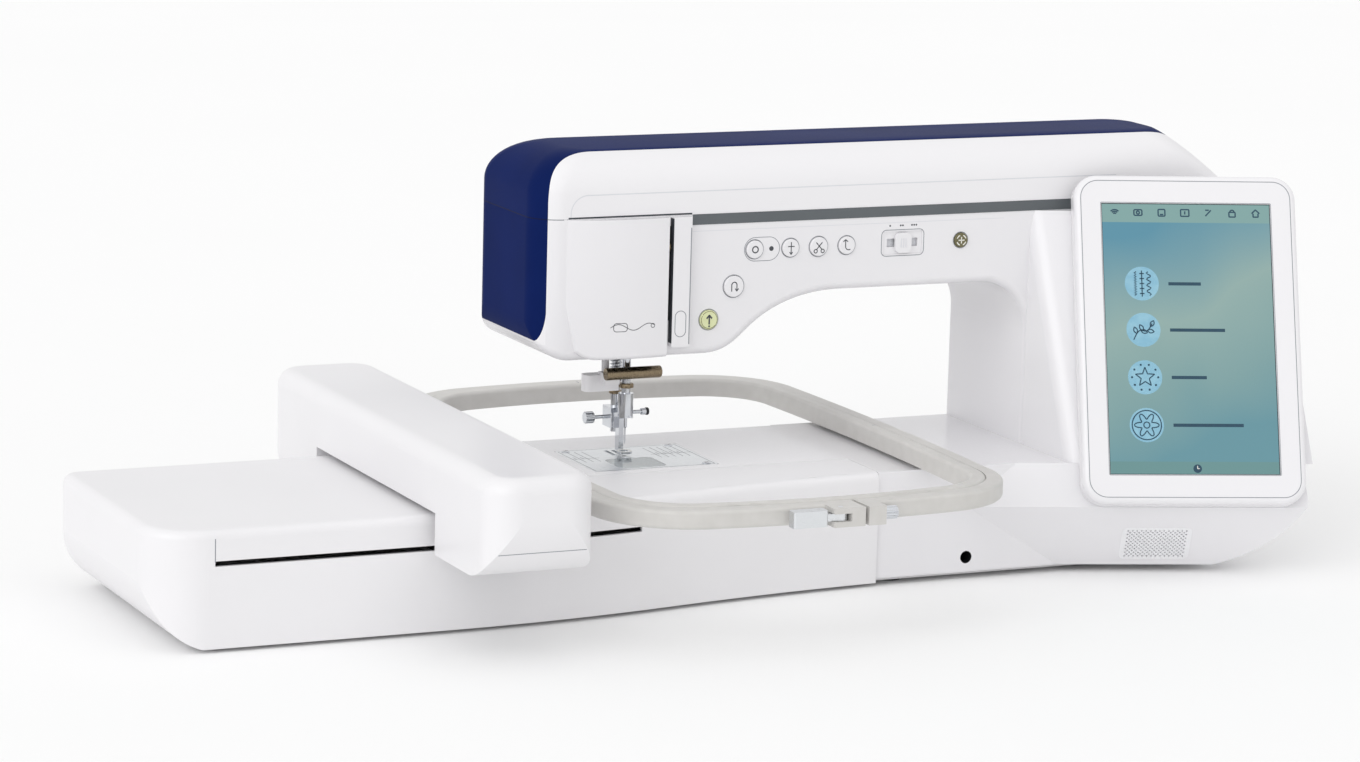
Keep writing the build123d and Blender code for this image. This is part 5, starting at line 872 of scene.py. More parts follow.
@dataclass
class Display(Assembly):
    """Picture of the display: a lit panel and the marks on it, all on the cover glass.

    Measures across and up the panel start from its middle, which is in millimetres of the frame. Each of
    rims is width, height, corner radius, corner points and line width of an outline on the frame.
    """

    width: float = 134.2
    height: float = 215.6
    yaw: float = 18.3
    tilt: float = 21.7
    middle: tuple[float, float, float] = (374.1, -105.5, 186.4)
    disc_r: float = 13.6
    disc_x: float = -37.2
    disc_ys: tuple[float, ...] = (43.8, 6.7, -31.2, -69.2)
    line: float = 0.9
    label_x: float = -16.0
    label_ls: tuple[float, ...] = (26.0, 44.0, 28.0, 56.0)
    icon_us: tuple[float, ...] = (0.075, 0.214, 0.355, 0.494, 0.636, 0.777, 0.918)
    icon_y: float = 101.0
    clock: tuple[float, float] = (2.0, -103.6)
    rims: tuple[tuple, ...] = ((168.0, 253.0, 14.0, 12, 0.6), (136.6, 218.0, 1.0, 6, 0.5))

    def face(self) -> Face:
        """Finds the front of the cover glass.

        Returns:
            The face, its origin in the middle of the glass.
        """
        yaw, tilt = np.radians(self.yaw), np.radians(self.tilt)
        right = np.array([np.cos(yaw), -np.sin(yaw), 0.0])
        into = np.array([np.sin(yaw), np.cos(yaw), 0.0])
        up = into * np.sin(tilt) + np.array([0.0, 0.0, np.cos(tilt)])
        out = np.cross(right, up)
        origin = np.asarray(self.middle) * MM
        front = ((corners_of(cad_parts["display_glass"].data) - origin) @ out).max()
        return Face(origin + front * out, right, up)

    def build(self) -> None:
        """Makes the picture and its marks."""
        face = self.face()
        self.panel(face)
        discs = [pad(face, ring(self.disc_x, y, self.disc_r, 48), 0.10, 0.05, 0.06) for y in self.disc_ys]
        self.add("display_discs", "disc", *discs)
        pictures = zip((self.stitches, self.leaves, self.star, self.blossom), self.disc_ys)
        marks = [mark for picture, y in pictures for mark in picture(y)]
        self.add("display_pictures", "line", *face.draw(marks, self.line, 0.05, 0.2))
        labels = [stroke((self.label_x, y), (self.label_x + length, y), step=2)
                  for y, length in zip(self.disc_ys, self.label_ls)]
        x, y = self.clock
        self.add("display_bar_marks", "line", *face.draw(labels, 2.6, 0.05, 0.1),
                 *face.draw(self.bar_icons(), 1.1, 0.05, 0.1), pad(face, ring(x, y, 3.4), 0.05, 0.08))
        hands = [stroke((x, y + 2.2), (x, y), (x + 1.6, y), step=0.4)]
        self.add("display_clock_hands", "mark", *face.draw(hands, 0.6, 0.04, 0.14), slot=Slot.SCREEN)
        rims = [face.draw([(lozenge(0, 0, *sizes), True)], line, 0.05, 1.0)[0] for *sizes, line in self.rims]
        self.add("display_frame_outlines", "seam", *rims)

    def panel(self, face: Face) -> None:
        """Makes the lit panel: a flat grid over the glass whose UV map runs from 0 to 1.

        Args:
            face: front of the glass.
        """
        u, v = np.meshgrid(np.linspace(0, 1, 9), np.linspace(0, 1, 13), indexing="ij")
        flat = np.stack([(u.ravel() - 0.5) * self.width, (v.ravel() - 0.5) * self.height], 1)
        grid = Shell.grid(face.at(flat, 0.06).reshape(*u.shape, 3), wrap_v=False, caps=False)
        mesh = self.add("display_picture", "picture", grid).data
        if (np.array(mesh.polygons[0].normal) @ face.out) < 0:
            mesh.flip_normals()
        corners = np.zeros(len(mesh.loops), int)
        mesh.loops.foreach_get("vertex_index", corners)
        away = corners_of(mesh) - np.asarray(face.origin)
        uv = np.stack([away @ face.right / (self.width * MM) + 0.5,
                       away @ face.up / (self.height * MM) + 0.5], 1)
        mesh.uv_layers.new(name="panel").data.foreach_set("uv", uv[corners].ravel())

    def stitches(self, y: float) -> list[Stroke]:
        """Draws upright rows of zigzag, straight and looped stitches.

        Args:
            y: height of the disc's middle.

        Returns:
            The strokes.
        """
        x, high = self.disc_x, np.linspace(-9.5, 9.5, 20)
        zigzag = np.stack([x - 6.0 + 1.6 * (np.arange(20) % 2), y + high], 1)
        wave = np.stack([x + 5.5 + 1.8 * np.sin(high * 1.3), y + high], 1)
        bars = [stroke((x - 1.8, y + k), (x + 1.8, y + k)) for k in (-8, -4, 0, 4, 8)]
        return [(zigzag, False), (wave, False), stroke((x, y - 10.5), (x, y + 10.5), step=2)] + bars

    def leaves(self, y: float) -> list[Stroke]:
        """Draws a curling stem with leaves on both sides; each leaf is two arcs that meet in points.

        Args:
            y: height of the disc's middle.

        Returns:
            The strokes.
        """
        turn = np.linspace(0, 1, 24)
        stem = np.stack([self.disc_x - 8 + 15 * turn, y - 8 + 14 * turn + 3 * np.sin(turn * 6)], 1)
        out = [(stem, False)]
        share = np.linspace(0, 1, 10)[:, None]
        for start, angle in ((0.2, 110), (0.4, -20), (0.55, 120), (0.75, -10), (0.95, 60)):
            root = stem[int(start * 23)]
            way = 5.5 * np.array([np.cos(np.radians(angle)), np.sin(np.radians(angle))])
            swell = np.sin(np.pi * share) * np.array([-way[1], way[0]]) * 0.26
            middle = root + share * way
            out.append((np.concatenate([middle + swell, (middle - swell)[::-1][1:-1]]), True))
        return out

    def star(self, y: float) -> list[Stroke]:
        """Draws a plain five-pointed star in a ring of dots.

        Args:
            y: height of the disc's middle.

        Returns:
            The strokes.
        """
        turn = np.radians(90 + 36 * np.arange(10))
        radius = np.where(np.arange(10) % 2, 3.4, 8.0)
        points = np.stack([self.disc_x + radius * np.cos(turn), y + radius * np.sin(turn)], 1)
        dots = [(ring(self.disc_x + 10.4 * np.cos(t), y + 10.4 * np.sin(t), 0.45, 8), True)
                for t in np.radians(np.arange(0, 360, 36))]
        return [(run(*points, points[0])[:-1], True)] + dots

    def blossom(self, y: float) -> list[Stroke]:
        """Draws a blossom whose radius swells in six petals, between a small ring and a large one.

        Args:
            y: height of the disc's middle.

        Returns:
            The strokes.
        """
        turn = np.linspace(0, 2 * np.pi, 72, endpoint=False)
        radius = 7.2 + 2.6 * np.cos(6 * turn)
        petals = np.stack([self.disc_x + radius * np.cos(turn), y + radius * np.sin(turn)], 1)
        return [(petals, True), (ring(self.disc_x, y, 2.4, 24), True), (ring(self.disc_x, y, 11.6, 48), True)]

    def bar_icons(self) -> list[Stroke]:
        """Draws seven small plain signs on the upper bar: waves, camera, disc, page, pen, lock and house.

        Returns:
            The strokes.
        """
        a, b, c, d, e, f, g = (np.array(self.icon_us) - 0.5) * self.width
        y = self.icon_y
        waves = [(arc(a, y - 2.2, radius, 45, 135, 10), False) for radius in (1.6, 3.0, 4.4)]
        return waves + [
            (lozenge(b, y, 6.4, 4.6, 1.0), True), (ring(b, y, 1.2, 16), True),
            (lozenge(c, y, 5.4, 5.4, 0.8), True), stroke((c - 1.4, y - 1.4), (c + 1.4, y - 1.4)),
            (lozenge(d, y, 6.6, 5.4, 0.6), True), stroke((d, y - 1.2), (d, y + 1.4)),
            stroke((e - 2.6, y - 2.4), (e + 2.0, y + 2.4)), stroke((e - 2.6, y + 2.4), (e + 0.4, y + 2.4)),
            (lozenge(f, y - 1.0, 5.0, 3.8, 0.6), True), (arc(f, y + 0.9, 1.7, 0, 180, 10), False),
            stroke((g - 3.2, y), (g, y + 3.0), (g + 3.2, y)),
            stroke((g - 2.0, y), (g - 2.0, y - 2.8), (g + 2.0, y - 2.8), (g + 2.0, y))]


@dataclass
class Controls(Assembly):
    """Printed signs on the keys and on the cover round them; keys are placed by X and Z of their middles."""

    cover_y: float = -50.0
    key_y: float = -51.8
    shield_y: float = -46.4
    row_z: float = 257.0
    start: tuple[float, float] = (45.5, 204.0)
    reverse: tuple[float, float] = (66.0, 229.0)
    reinforce_x: float = 83.0
    needle_x: float = 113.6
    cutter_x: float = 137.7
    lifter_x: float = 162.0
    slider_x: float = 211.0
    clamp_x: float = 262.0
    line: float = 0.75
    dots_z: float = 270.6

    def plane(self, y: float) -> Face:
        """Returns an upright plane at one depth, measured by X and Z."""
        return Face(place((0.0, y, 0.0)), RIGHT, UP)

    def sign(self, name: str, body: str, strokes: Sequence[Stroke], width: float | None = None,
             finish: str = "ink") -> None:
        """Prints strokes on a key.

        Args:
            name: the piece's name.
            body: body of the key.
            strokes: flat paths, and whether each is a loop.
            width: width of the strokes in millimetres, where it isn't the usual one.
            finish: short key of the ink.
        """
        marks = self.plane(self.key_y).draw(strokes, width or self.line, 0.08, 0.02)
        self.add(name, finish, *marks, body=body, slot=Slot.BLACK)

    def build(self) -> None:
        """Makes every sign of the control row."""
        self.curved_signs()
        self.row_signs()
        self.cover_marks()

    def curved_signs(self) -> None:
        """Prints the start key's arrow, dot and ring, and the reverse key's bent arrow."""
        keys = self.plane(self.key_y)
        x, z = self.start
        arrow = [stroke((x, z - 3.6), (x, z + 3.4), step=0.8),
                 stroke((x - 2.2, z + 1.0), (x, z + 3.6), (x + 2.2, z + 1.0), step=0.8)]
        self.sign("start_arrow", "button_start_body", arrow, 1.3)
        self.add("start_dot", "ink", pad(keys, ring(x, z - 5.0, 0.8, 16), 0.06), body="button_start_body")
        rim = tube(keys.at(ring(x, z, 6.6, 60), -0.45), 0.5, 10, True)
        self.add("start_ring", "olive", rim, body="button_start_body")
        x, z = self.reverse
        bend = np.concatenate([run((x - 2.2, z - 3.8), (x - 2.2, z + 1.2), step=0.8),
                               arc(x, z + 1.2, 2.2, 180, 0, 14),
                               run((x + 2.2, z + 0.8), (x + 2.2, z - 3.0), step=0.8)])
        tip = stroke((x + 0.8, z - 1.6), (x + 2.2, z - 3.6), (x + 3.6, z - 1.6), step=0.6)
        self.sign("reverse_arrow", "button_reverse_body", [(bend, False), tip], 0.8)

    def row_signs(self) -> None:
        """Prints the row's signs: a ring, a needle, scissors, a foot, and a plus in a broken ring."""
        z, x = self.row_z, self.reinforce_x
        self.sign("reinforce_ring", "button_reinforce_body", [(ring(x, z, 2.4, 28), True)], 1.0)
        x = self.needle_x
        self.sign("needle_sign", "button_needle_body", [
            stroke((x, z - 5.0), (x, z + 4.6), step=0.8), stroke((x - 2.8, z + 1.2), (x + 2.8, z + 1.2)),
            stroke((x - 1.3, z - 3.2), (x, z - 5.0), (x + 1.3, z - 3.2), step=0.6)])
        x = self.cutter_x
        self.sign("cutter_sign", "button_cutter_body", [
            stroke((x - 2.6, z + 3.4), (x + 2.4, z - 2.2), step=0.8),
            stroke((x + 2.6, z + 3.4), (x - 2.4, z - 2.2), step=0.8),
            (ring(x - 3.0, z - 3.4, 1.4, 16), True), (ring(x + 3.0, z - 3.4, 1.4, 16), True)])
        x = self.lifter_x
        foot = np.concatenate([run((x - 1.6, z + 4.4), (x - 1.6, z - 0.6), step=0.8),
                               arc(x + 1.2, z - 0.6, 2.8, 180, 300, 12)])
        sole = stroke((x - 3.6, z + 3.0), (x - 1.6, z + 4.6), (x + 0.4, z + 3.0), step=0.6)
        self.sign("lifter_sign", "button_lifter_body", [(foot, False), sole])
        x = self.clamp_x
        quarters = [(arc(x, z, 4.0, turn + 20, turn + 70, 8), False) for turn in (0, 90, 180, 270)]
        plus = [stroke((x - 2.6, z), (x + 2.6, z)), stroke((x, z - 2.6), (x, z + 2.6))]
        self.sign("clamp_plus", "button_clamp_body", plus + quarters, 0.9, "mark")

    def cover_marks(self) -> None:
        """Makes the gaps round the keys, the printed dots, and the slider's ribs and shield."""
        face, z = self.plane(self.cover_y), self.row_z
        rims = [(self.reinforce_x, z, 7.6), (self.needle_x, z, 7.6), (self.cutter_x, z, 8.1),
                (self.lifter_x, z, 7.6), (*self.reverse, 8.9), (*self.start, 8.2), (self.clamp_x, z, 6.4)]
        gaps = [(ring(*rim, 60), True) for rim in rims] + [(lozenge(89.5, z, 30.0, 18.4, 9.19, 14), True)]
        recess = [(lozenge(self.slider_x, z, 37.0, 20.5, 4.0, 8), True)]
        self.add("key_outlines", "seam", *face.draw(gaps, 0.5, 0.06), *face.draw(recess, 0.6, 0.06))
        dots = [pad(face, ring(97.5, z, 1.9, 24), 0.08)]
        for count, middle in ((1, 199.6), (2, 209.8), (3, 220.6)):
            xs = middle + 1.9 * (np.arange(count) - (count - 1) / 2)
            dots += [pad(face, ring(x, self.dots_z, 0.75, 14), 0.06) for x in xs]
        self.add("speed_dots", "ink", *dots)
        ribs = [stroke((self.slider_x + dx, z - 3.6), (self.slider_x + dx, z + 3.6))
                for dx in (-2.0, 0.0, 2.0)]
        self.add("slider_ribs", "crease", *self.plane(self.key_y).draw(ribs, 0.7, 0.25), body="slider_body")
        shield = lozenge(self.slider_x, z, 50.0, 11.0, 1.5, 6)
        self.add("slider_dust_shield", "crease", pad(self.plane(self.shield_y), shield, 0.3, 0.0, 0.04),
                 body="slider_body")


@dataclass
class LidSkin(Assembly):
    """Smooth skin of the hinged lid, with its hollow underside.

    Attributes:
        left: left end in millimetres from the needle point.
        right: right end.
        front: front face.
        back: back face.
        low: lower edge.
        high: top.
        brow: height of the upright part above the lower edge.
        sill: height of the upright part at the right end.
        insets: how far the rounding reaches in at left, right, front and back.
        corner: corner radius of the plan.
        wall: thickness.
        hinge: Y and Z of the hinge line.
        knuckle_r: radius of the hinge knuckles.
        knuckle_l: length of each knuckle.
        knuckle_xs: where the knuckles begin.
        edge_xs: ends of the dark lower edge over the face cover.
        edge_z: height of that edge.
        crease: left end, right end, lower end, height and corner radius of the painted shade line along the
            bends of the front.
    """

    left: float = -98.0
    right: float = 508.0
    front: float = -50.0
    back: float = 78.0
    low: float = 286.15
    high: float = 334.9
    brow: float = 17.0
    sill: float = 8.0
    insets: tuple[float, float, float, float] = (42.0, 52.0, 30.0, 34.0)
    corner: float = 24.0
    wall: float = 3.0
    hinge: tuple[float, float] = (81.4, 288.5)
    knuckle_r: float = 3.2
    knuckle_l: float = 16.0
    knuckle_xs: tuple[float, ...] = (60.0, 380.0)
    edge_xs: tuple[float, float] = (-73.0, 29.5)
    edge_z: float = 286.9
    crease: tuple[float, float, float, float, float] = (-71.0, 400.0, 287.6, 304.0, 14.0)

    def rings(self, thick: float) -> np.ndarray:
        """Works out rings of the plan from the lower edge to the top.

        Each ring is a rounded rectangle. Up the brow it keeps its size; above it, ring by ring, the sides
        draw in by one minus the cosine of an angle and the height grows by its sine, a quarter ellipse.
        The right end draws in evenly with the height instead, a straight slope.

        Args:
            thick: how far inside the outer skin the rings lie.

        Returns:
            Rings by points by three, in millimetres.
        """
        tall = self.high - self.low
        turn = np.concatenate([[0.0, 0.0], np.linspace(0, np.pi / 2, 15)])
        arch = self.brow + (tall - self.brow) * np.sin(turn[2:])
        rise = np.concatenate([[0.0, self.sill], arch])
        out = []
        for share, lift in zip(1 - np.cos(turn), rise):
            slope = max(lift - self.sill, 0.0) / (tall - self.sill)
            x0 = self.left + thick + self.insets[0] * share
            x1 = self.right - thick - self.insets[1] * slope
            y0 = self.front + thick + self.insets[2] * share
            y1 = self.back - thick - self.insets[3] * share
            plan = lozenge((x0 + x1) / 2, (y0 + y1) / 2, x1 - x0, y1 - y0,
                           self.corner - thick - 4 * share, 24)
            height = self.low + max(lift * (1 - thick / tall), 0.0)
            out.append(np.column_stack([plan, np.full(len(plan), height)]))
        return np.stack(out)

    def build(self) -> None:
        """Makes the skin, the inner rings from the top down and then the outer ones up, and its lines."""
        rings = np.concatenate([self.rings(self.wall)[::-1], self.rings(0.0)])
        piece = self.add("lid_skin", "lid", Shell.grid(place(rings)), body="lid")
        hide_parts("lid_front", "lid_rear")
        edge = run(*((x, self.front, self.edge_z) for x in self.edge_xs), step=6.0)
        self.add("lid_edge", "slit", ribbon(place(edge), FRONT, 1.2, 0.08), body="lid")
        # Painted shade: a line barely darker than the shell where the lid's front bends back into the top and
        # round the left corner
        left, right, foot, height, radius = self.crease
        bend = height - radius
        path = np.concatenate([run((left, foot), (left, bend)), arc(left + radius, bend, radius, 180, 90, 16),
                               run((left + radius + 1.0, height), (right, height), step=4.0)])
        line = ribbon(place(upright(path, self.front)), FRONT, 0.8, 0.05)
        self.add("lid_crease_painted_shade", "crease", line, body="lid")
        self.knuckles()

    def knuckles(self) -> None:
        """Makes the hinge knuckles: a tongue, straight sides and a half circle about the hinge, along X."""
        y, z = self.hinge
        tongue = np.concatenate([[[self.back - 1.0, z - 1.5]], arc(y, z, self.knuckle_r, -90, 90, 20),
                                 [[self.back - 1.0, z + self.knuckle_r]]])
        ends = np.array([0.0, 0.6, self.knuckle_l - 0.6, self.knuckle_l])
        drawn_in = np.array([0.94, 1.0, 1.0, 0.94])[:, None, None]
        middle = tongue.mean(0)
        outline = middle + (tongue - middle) * drawn_in
        both = []
        for start in self.knuckle_xs:
            across = np.broadcast_to((start + ends)[:, None, None], (*outline.shape[:2], 1))
            both.append(Shell.grid(place(np.concatenate([across, outline], 2))))
        self.add("lid_knuckles", "lid", *both, body="lid")


@dataclass
class Seams(Assembly):
    """Joint lines between the mouldings, with some painted shadow and shade lines among them, laid on the
    solids.

    The display's wedge hides the joint from display_x on, and the navy end cover begins at navy_x. Marks
    are set down on the solids from away_y, a depth in front of them.
    """

    deck_z: float = 286.0
    left: float = -98.0
    right: float = 508.0
    front: float = -50.0
    back: float = 78.0
    plan_r: float = 24.0
    display_x: float = 330.0
    navy_x: float = -88.0
    away_y: float = -90.0

    def build(self) -> None:
        """Makes the joint lines of body, unit and arm, a painted shadow beside the front cover's band,
        painted shade on the thread slot's wall, and the threading sign.
        """
        self.deck()
        lay = self.ground.line
        lines = [lay([(163.3, -190, 12), (163.3, -190, 84)], "base_housing", BACK, 0.8),
                 lay([(-387, -190, 67), (-387, -190, 84)], "unit_top_shell", BACK, 0.7),
                 lay([(-48, -190, 67), (-48, -190, 84)], "unit_top_shell", BACK, 0.7),
                 # This last line is a painted shadow: a dark strip at the right edge of the front cover's
                 # raised band, where its side throws shade
                 lay([(26.4, self.away_y, 187), (26.4, self.away_y, 277)], "arm_front_cover", BACK, 0.8)]
        self.add("cover_joints_and_band_shadow", "seam", *lines)
        slot = place(upright(lozenge(19.0, 203.0, 9.0, 20.0, 4.4, 8), self.away_y))
        outline = ribbon(*self.ground.settle(slot, "arm_front_cover", BACK), 0.6, 0.06, True)
        self.add("thread_cutter_outline", "seam", outline)
        # Painted shade: a dark strip on the slot's side wall stands for the shadow inside the thread slot
        wall = run((12.0, -52.0, 188.0), (12.0, -52.0, 284.4), step=6.0)
        self.add("thread_slot_painted_shade", "slit", ribbon(place(wall), (-1.0, 0.0, 0.0), 8.6, 0.08))
        # Painted shade: a line barely darker than the shell along a crease of the front cover
        self.add("cover_crease_painted_shade", "crease", lay([(30, self.away_y, 273), (300, self.away_y, 273)],
                                               "arm_front_cover", BACK, 0.5, 0.04, 8.0))
        self.add("arm_end_joint", "seam", lay([(-215, -330, 84), (-147, -330, 84)], "arm_shell", BACK, 0.7),
                 body="carriage")
        self.diagram()

    def deck(self) -> None:
        """Makes the joint under the lid: the plan's outline without the display's stretch, in three runs.

        A point's outward direction is its way from the plan drawn in by the corner radius.
        """
        middle = np.array([(self.left + self.right) / 2, (self.front + self.back) / 2])
        plan = lozenge(*middle, self.right - self.left, self.back - self.front, self.plan_r, 16)
        keep = plan[(plan[:, 0] < self.display_x) | (plan[:, 1] > 0)]
        start = int(np.argmin(np.where(keep[:, 1] < 0, -keep[:, 0], np.inf)))
        flat = run(*np.roll(keep, -start, 0), step=6.0)
        inner = np.clip(flat, [self.left + self.plan_r, self.front + self.plan_r],
                        [self.right - self.plan_r, self.back - self.plan_r])
        out = unit(np.where(np.abs(flat - inner) > 1e-6, flat - inner, (flat - middle) * 1e-9))
        line = place(np.column_stack([flat, np.full(len(flat), self.deck_z)]))
        facing = np.column_stack([out, np.zeros(len(out))])
        first, last = np.flatnonzero(line[:, 0] < place((self.navy_x, 0.0, 0.0))[0])[[0, -1]]
        for name, finish, part, width in (("navy_joint", "navy_seam", slice(first, last + 1), 0.8),
                                          ("front_joint", "seam", slice(first + 1), 0.7),
                                          ("rear_joint", "seam", slice(last, None), 0.7)):
            self.add(name, finish, ribbon(line[part], facing[part], width, 0.06))

    def diagram(self) -> None:
        """Prints a small plain threading sign on the face cover: a spool and a thread that wanders."""
        turn = np.linspace(0, 1, 40)
        thread = np.stack([-40 + 36 * turn, 203 + 2.4 * np.sin(turn * 9.0)], 1)
        marks = [(thread, False), (lozenge(-32, 203, 11, 6.4, 2.2, 6), True),
                 (ring(-5, 203.4, 1.6, 14), True)]
        shells = []
        for path, closed in marks:
            spots, out = self.ground.settle(place(upright(path, self.away_y)), "face_cover", BACK)
            shells.append(ribbon(spots, out, 0.55, 0.05, closed))
        self.add("threading_sign", "ink", *shells)


@dataclass
class NeedleArea(Assembly):
    """Small hardware round the needle, and the needle plate's marks; bar_y is the presser bar's depth."""

    plate_z: float = 90.0
    bar_y: float = 20.0
    screws: tuple[tuple[float, float], ...] = ((-38.0, 27.5), (50.0, 27.5), (50.0, -44.0))
    long_xs: tuple[float, ...] = (-38.0, -32.0, -26.0, 26.0, 32.0, 38.0, 44.0, 50.0)
    short_xs: tuple[float, ...] = (-41.0, -35.0, 29.0, 35.0, 41.0, 47.0)

    def build(self) -> None:
        """Makes the plate's marks, its screws with painted shade in their slots, and the hardware on the
        bars.
        """
        plate = Face(place((0.0, 0.0, self.plate_z)), RIGHT, BACK)
        marks = [stroke((x, -14.0), (x, 24.0), step=4) for x in self.long_xs]
        marks += [stroke((x, -2.0), (x, 6.0), step=4) for x in self.short_xs]
        marks += [stroke((x0, -1.0), (x1, -1.0), step=4) for x0, x1 in ((-44.0, -22.0), (22.0, 56.0))]
        marks.append((lozenge(6.0, -9.0, 100.0, 78.0, 2.4, 6), True))
        self.add("plate_marks", "ink", *plate.draw(marks, 0.45, 0.04))
        head = ((3.4, -0.1), (3.4, 0.35), (2.9, 0.6), (0.02, 0.6))
        self.add("plate_screws", "chrome", *(turned(head, place((*spot, self.plate_z)), UP, 32)
                                             for spot in self.screws))
        # Painted shade: a dark line on each screw head stands for the shadow in its slot
        slot_shade_line = [stroke((-2.2, -1.2), (2.2, 1.2))]
        tops = [Face(place((*spot, self.plate_z + 0.6)), RIGHT, BACK) for spot in self.screws]
        self.add("plate_screw_slot_shade", "ink", *(top.draw(slot_shade_line, 0.7, 0.03)[0] for top in tops))
        self.bars()

    def bars(self) -> None:
        """Makes turned collars and nuts, a coil spring, wire guide and loop, and the knee socket's lining."""
        collar = ((3.55, 0.0), (5.6, 0.3), (6.0, 0.8), (6.0, 5.2), (5.6, 5.7), (3.55, 6.0))
        band = ((3.55, 0), (5.0, 0.2), (5.2, 0.6), (5.2, 2.4), (5.0, 2.8), (3.55, 3.0))
        nut = ((3.55, 0), (5.4, 0.3), (5.6, 0.8), (5.6, 3.2), (5.2, 3.8), (3.55, 4.0))
        sleeve = ((4.52, 0.0), (4.75, 0.4), (4.75, 22.0), (4.6, 22.2), (4.6, 22.8), (4.75, 23.0),
                  (4.75, 45.6), (4.3, 46.3), (3.4, 46.5))
        cap = ((2.65, 0.0), (2.85, 0.3), (2.85, 2.0), (2.3, 2.5), (0.02, 2.5))
        lining = ((4.98, 0.3), (4.75, 0.3), (4.75, 20.0), (0.05, 20.0), (0.05, 20.6), (4.98, 20.6))
        coil = np.linspace(0, 1, 220)
        twist = coil * 14 * np.pi
        spring = np.stack([4.5 * np.cos(twist), self.bar_y + 4.5 * np.sin(twist), 153 + 18 * coil], 1)
        turn = np.linspace(np.radians(200), np.radians(-70), 40)
        wire = np.stack([2.6 * np.cos(turn), -7.5 + 2.6 * np.sin(turn), np.full(40, 122.0)], 1)
        guide = np.concatenate([wire, run((1.2, -5.6, 122.0), (0.9, -4.0, 122.6), step=0.5)])
        round_foot = coil[::4][:-1] * 2 * np.pi
        loop = np.stack([5.2 * np.cos(round_foot), 5.2 * np.sin(round_foot), np.full(54, 93.6)], 1)
        low, high = (np.array(corner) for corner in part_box("clamp_screw"))
        tip = np.array([high[0] - 2.4 * MM, (low[1] + high[1]) / 2, (low[2] + high[2]) / 2])
        for name, finish, body, shell in (
                ("presser_collar", "chrome", "presser",
                 turned(collar, place((0, self.bar_y, 146)), UP, 72, 24, 0.18)),
                ("presser_ring", "bronze", "presser", turned(band, place((0, self.bar_y, 136)), UP, 40)),
                ("presser_spring", "steel", "presser", tube(place(spring), 0.55, 8)),
                ("needle_bar_nut", "bronze", "needle_body", turned(nut, place((0, 0, 144)), UP, 60, 6, 0.35)),
                ("needle_thread_guide", "steel", "needle_body", tube(place(guide), 0.45, 8)),
                ("foot_loop", "mark", "presser", tube(place(loop), 0.7, 10, True)),
                ("threader_roller_sleeve", "bronze", "threader_body",
                 turned(sleeve, place((-23.1, -12.5, 158.0)), RIGHT, 48)),
                ("clamp_screw_tip", "black", "clamp_screw_body", turned(cap, tip, RIGHT, 48, 16, 0.12)),
                ("knee_socket_lining", "black", "base",
                 turned(lining, place((242.0, -116.0, 17.5)), BACK, 40, loop=True))):
            self.add(name, finish, shell, body=body)


@dataclass
class HoopMarks(Assembly):
    """Moulded marks on the hoop: a middle tick at its back and one at its right."""

    def build(self) -> None:
        """Makes the ticks."""
        ticks = [self.ground.line(ends, "hoop_inner", DOWN, 1.0)
                 for ends in ([(48.5, 204, 130), (48.5, 209, 130)], [(201, -28, 130), (205, -28, 130)])]
        self.add("hoop_ticks", "seam", *ticks, body="hoop")


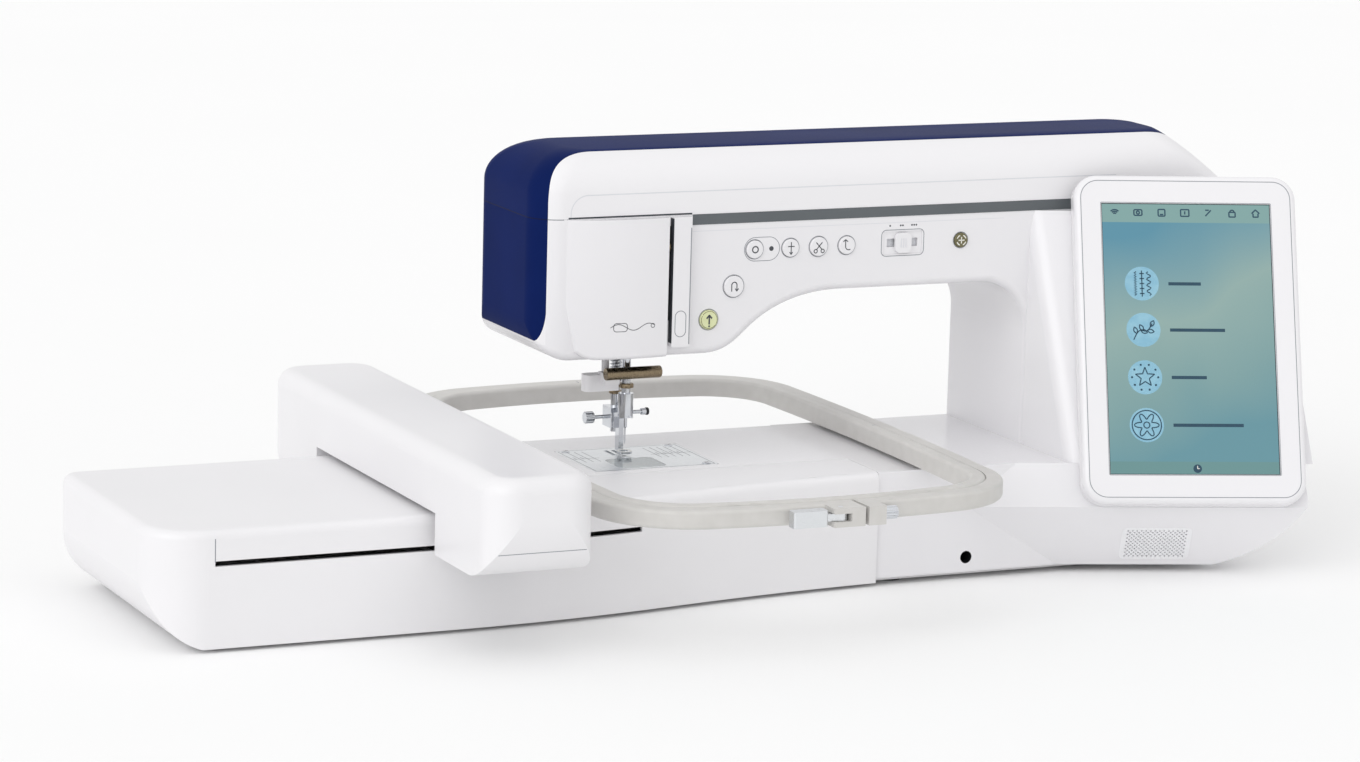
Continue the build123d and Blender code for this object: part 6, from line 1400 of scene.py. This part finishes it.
@dataclass
class Studio:
    """Floor, soft light and the camera of the photograph.

    Angles are in degrees, and eye and reach, half the floor's width, in metres. Each lamp is a name, the
    direction the light comes from, a strength and a width in degrees.
    """

    eye: tuple[float, float, float] = (-1.4675, -3.152, 0.808)
    yaw: float = 24.71
    pitch: float = 10.67
    roll: float = 1.52
    focal_px: float = 4579.0
    width_px: float = 1360.0
    sensor: float = 36.0
    reach: float = 8.0
    lamps: tuple[tuple, ...] = (("key_light", (-0.95, -0.65, 0.7), 0.66, 50),
                                ("side_light", (-1.0, -0.22, 0.28), 0.36, 60),
                                ("top_light", (0.2, -0.25, 1.0), 0.30, 60))
    lit: float = 0.78
    glossy: float = 0.9

    def build(self) -> None:
        """Makes floor, world, lamps and camera."""
        self.floor()
        self.world()
        for lamp in self.lamps:
            self.lamp(*lamp)
        self.camera()

    def floor(self) -> None:
        """Makes a wide pale floor: a grid with a faint broad mottling."""
        side = np.linspace(-self.reach, self.reach, 17)
        u, v = np.meshgrid(side, side, indexing="ij")
        shell = Shell.grid(np.stack([u, v, np.full_like(u, CAD_BOX[0][2])], -1), wrap_v=False, caps=False)
        # Matt paper: a near-white sweep with no shine
        paper = Finish("matt_studio_paper", "#FCFCFC", "#FAFAFA", 0.9, 2.0, 0.001, 600.0)
        floor = shell.make("floor", paper.build())

    def world(self) -> None:
        """Makes a world that looks white to the camera and in reflections, and lights evenly."""
        world = bpy.data.worlds.new("studio")
        world.use_nodes = True
        tree = world.node_tree
        tree.nodes.clear()
        path = add_node(tree, "LightPath").outputs
        seen = add_node(tree, "Math", {0: path["Is Camera Ray"], 1: path["Is Transmission Ray"]},
                        operation="MAXIMUM")
        light, shine, plain = (add_node(tree, "Background", {"Color": linear("#FFFFFF"), "Strength": level})
                               for level in (self.lit, self.glossy, 1.0))
        lit = add_node(tree, "MixShader", {0: path["Is Glossy Ray"], 1: light, 2: shine})
        both = add_node(tree, "MixShader", {0: seen, 1: lit, 2: plain})
        add_node(tree, "OutputWorld", {"Surface": both})
        bpy.context.scene.world = world

    def lamp(self, name: str, source: Sequence, strength: float, angle: float) -> None:
        """Adds a wide distant lamp, which lights the floor evenly.

        Args:
            name: the lamp's name.
            source: direction that the light comes from.
            strength: irradiance in watts per square metre.
            angle: width of the source in degrees, which softens the shadow.
        """
        data = bpy.data.lights.new(name, "SUN")
        data.energy = strength
        data.angle = np.radians(angle)
        lamp = bpy.data.objects.new(name, data)
        lamp.rotation_euler = Vector(source).to_track_quat("Z", "Y").to_euler()
        bpy.context.scene.collection.objects.link(lamp)

    def camera(self) -> None:
        """Places the camera from the photograph's yaw, pitch, roll and focal length."""
        yaw, pitch, roll = np.radians((self.yaw, self.pitch, self.roll))
        ahead = np.array([np.sin(yaw) * np.cos(pitch), np.cos(yaw) * np.cos(pitch), -np.sin(pitch)])
        level = np.array([np.cos(yaw), -np.sin(yaw), 0.0])
        over = np.cross(level, ahead)
        right = np.cos(roll) * level + np.sin(roll) * over
        up = np.cos(roll) * over - np.sin(roll) * level
        data = bpy.data.cameras.new("camera")
        data.sensor_width = self.sensor
        data.lens = self.sensor * self.focal_px / self.width_px
        data.clip_end = 50
        camera = bpy.data.objects.new("camera", data)
        turn = np.eye(4)
        turn[:3, :4] = np.column_stack([right, up, -ahead, self.eye])
        camera.matrix_world = Matrix(turn.tolist())
        bpy.context.scene.collection.objects.link(camera)
        bpy.context.scene.camera = camera


def main() -> None:
    """Builds and dresses the machine, then the studio."""
    logging.basicConfig(level=logging.INFO, format="%(name)s: %(message)s")
    bpy.context.scene.view_settings.view_transform = "Standard"
    finishes, ground = Finishes(), Ground()
    for kind in (CadFinishes, Display, Controls, LidSkin, Seams, NeedleArea, HoopMarks):
        kind(finishes, ground).build()
    Studio().build()


if __name__ == "__main__":
    main()
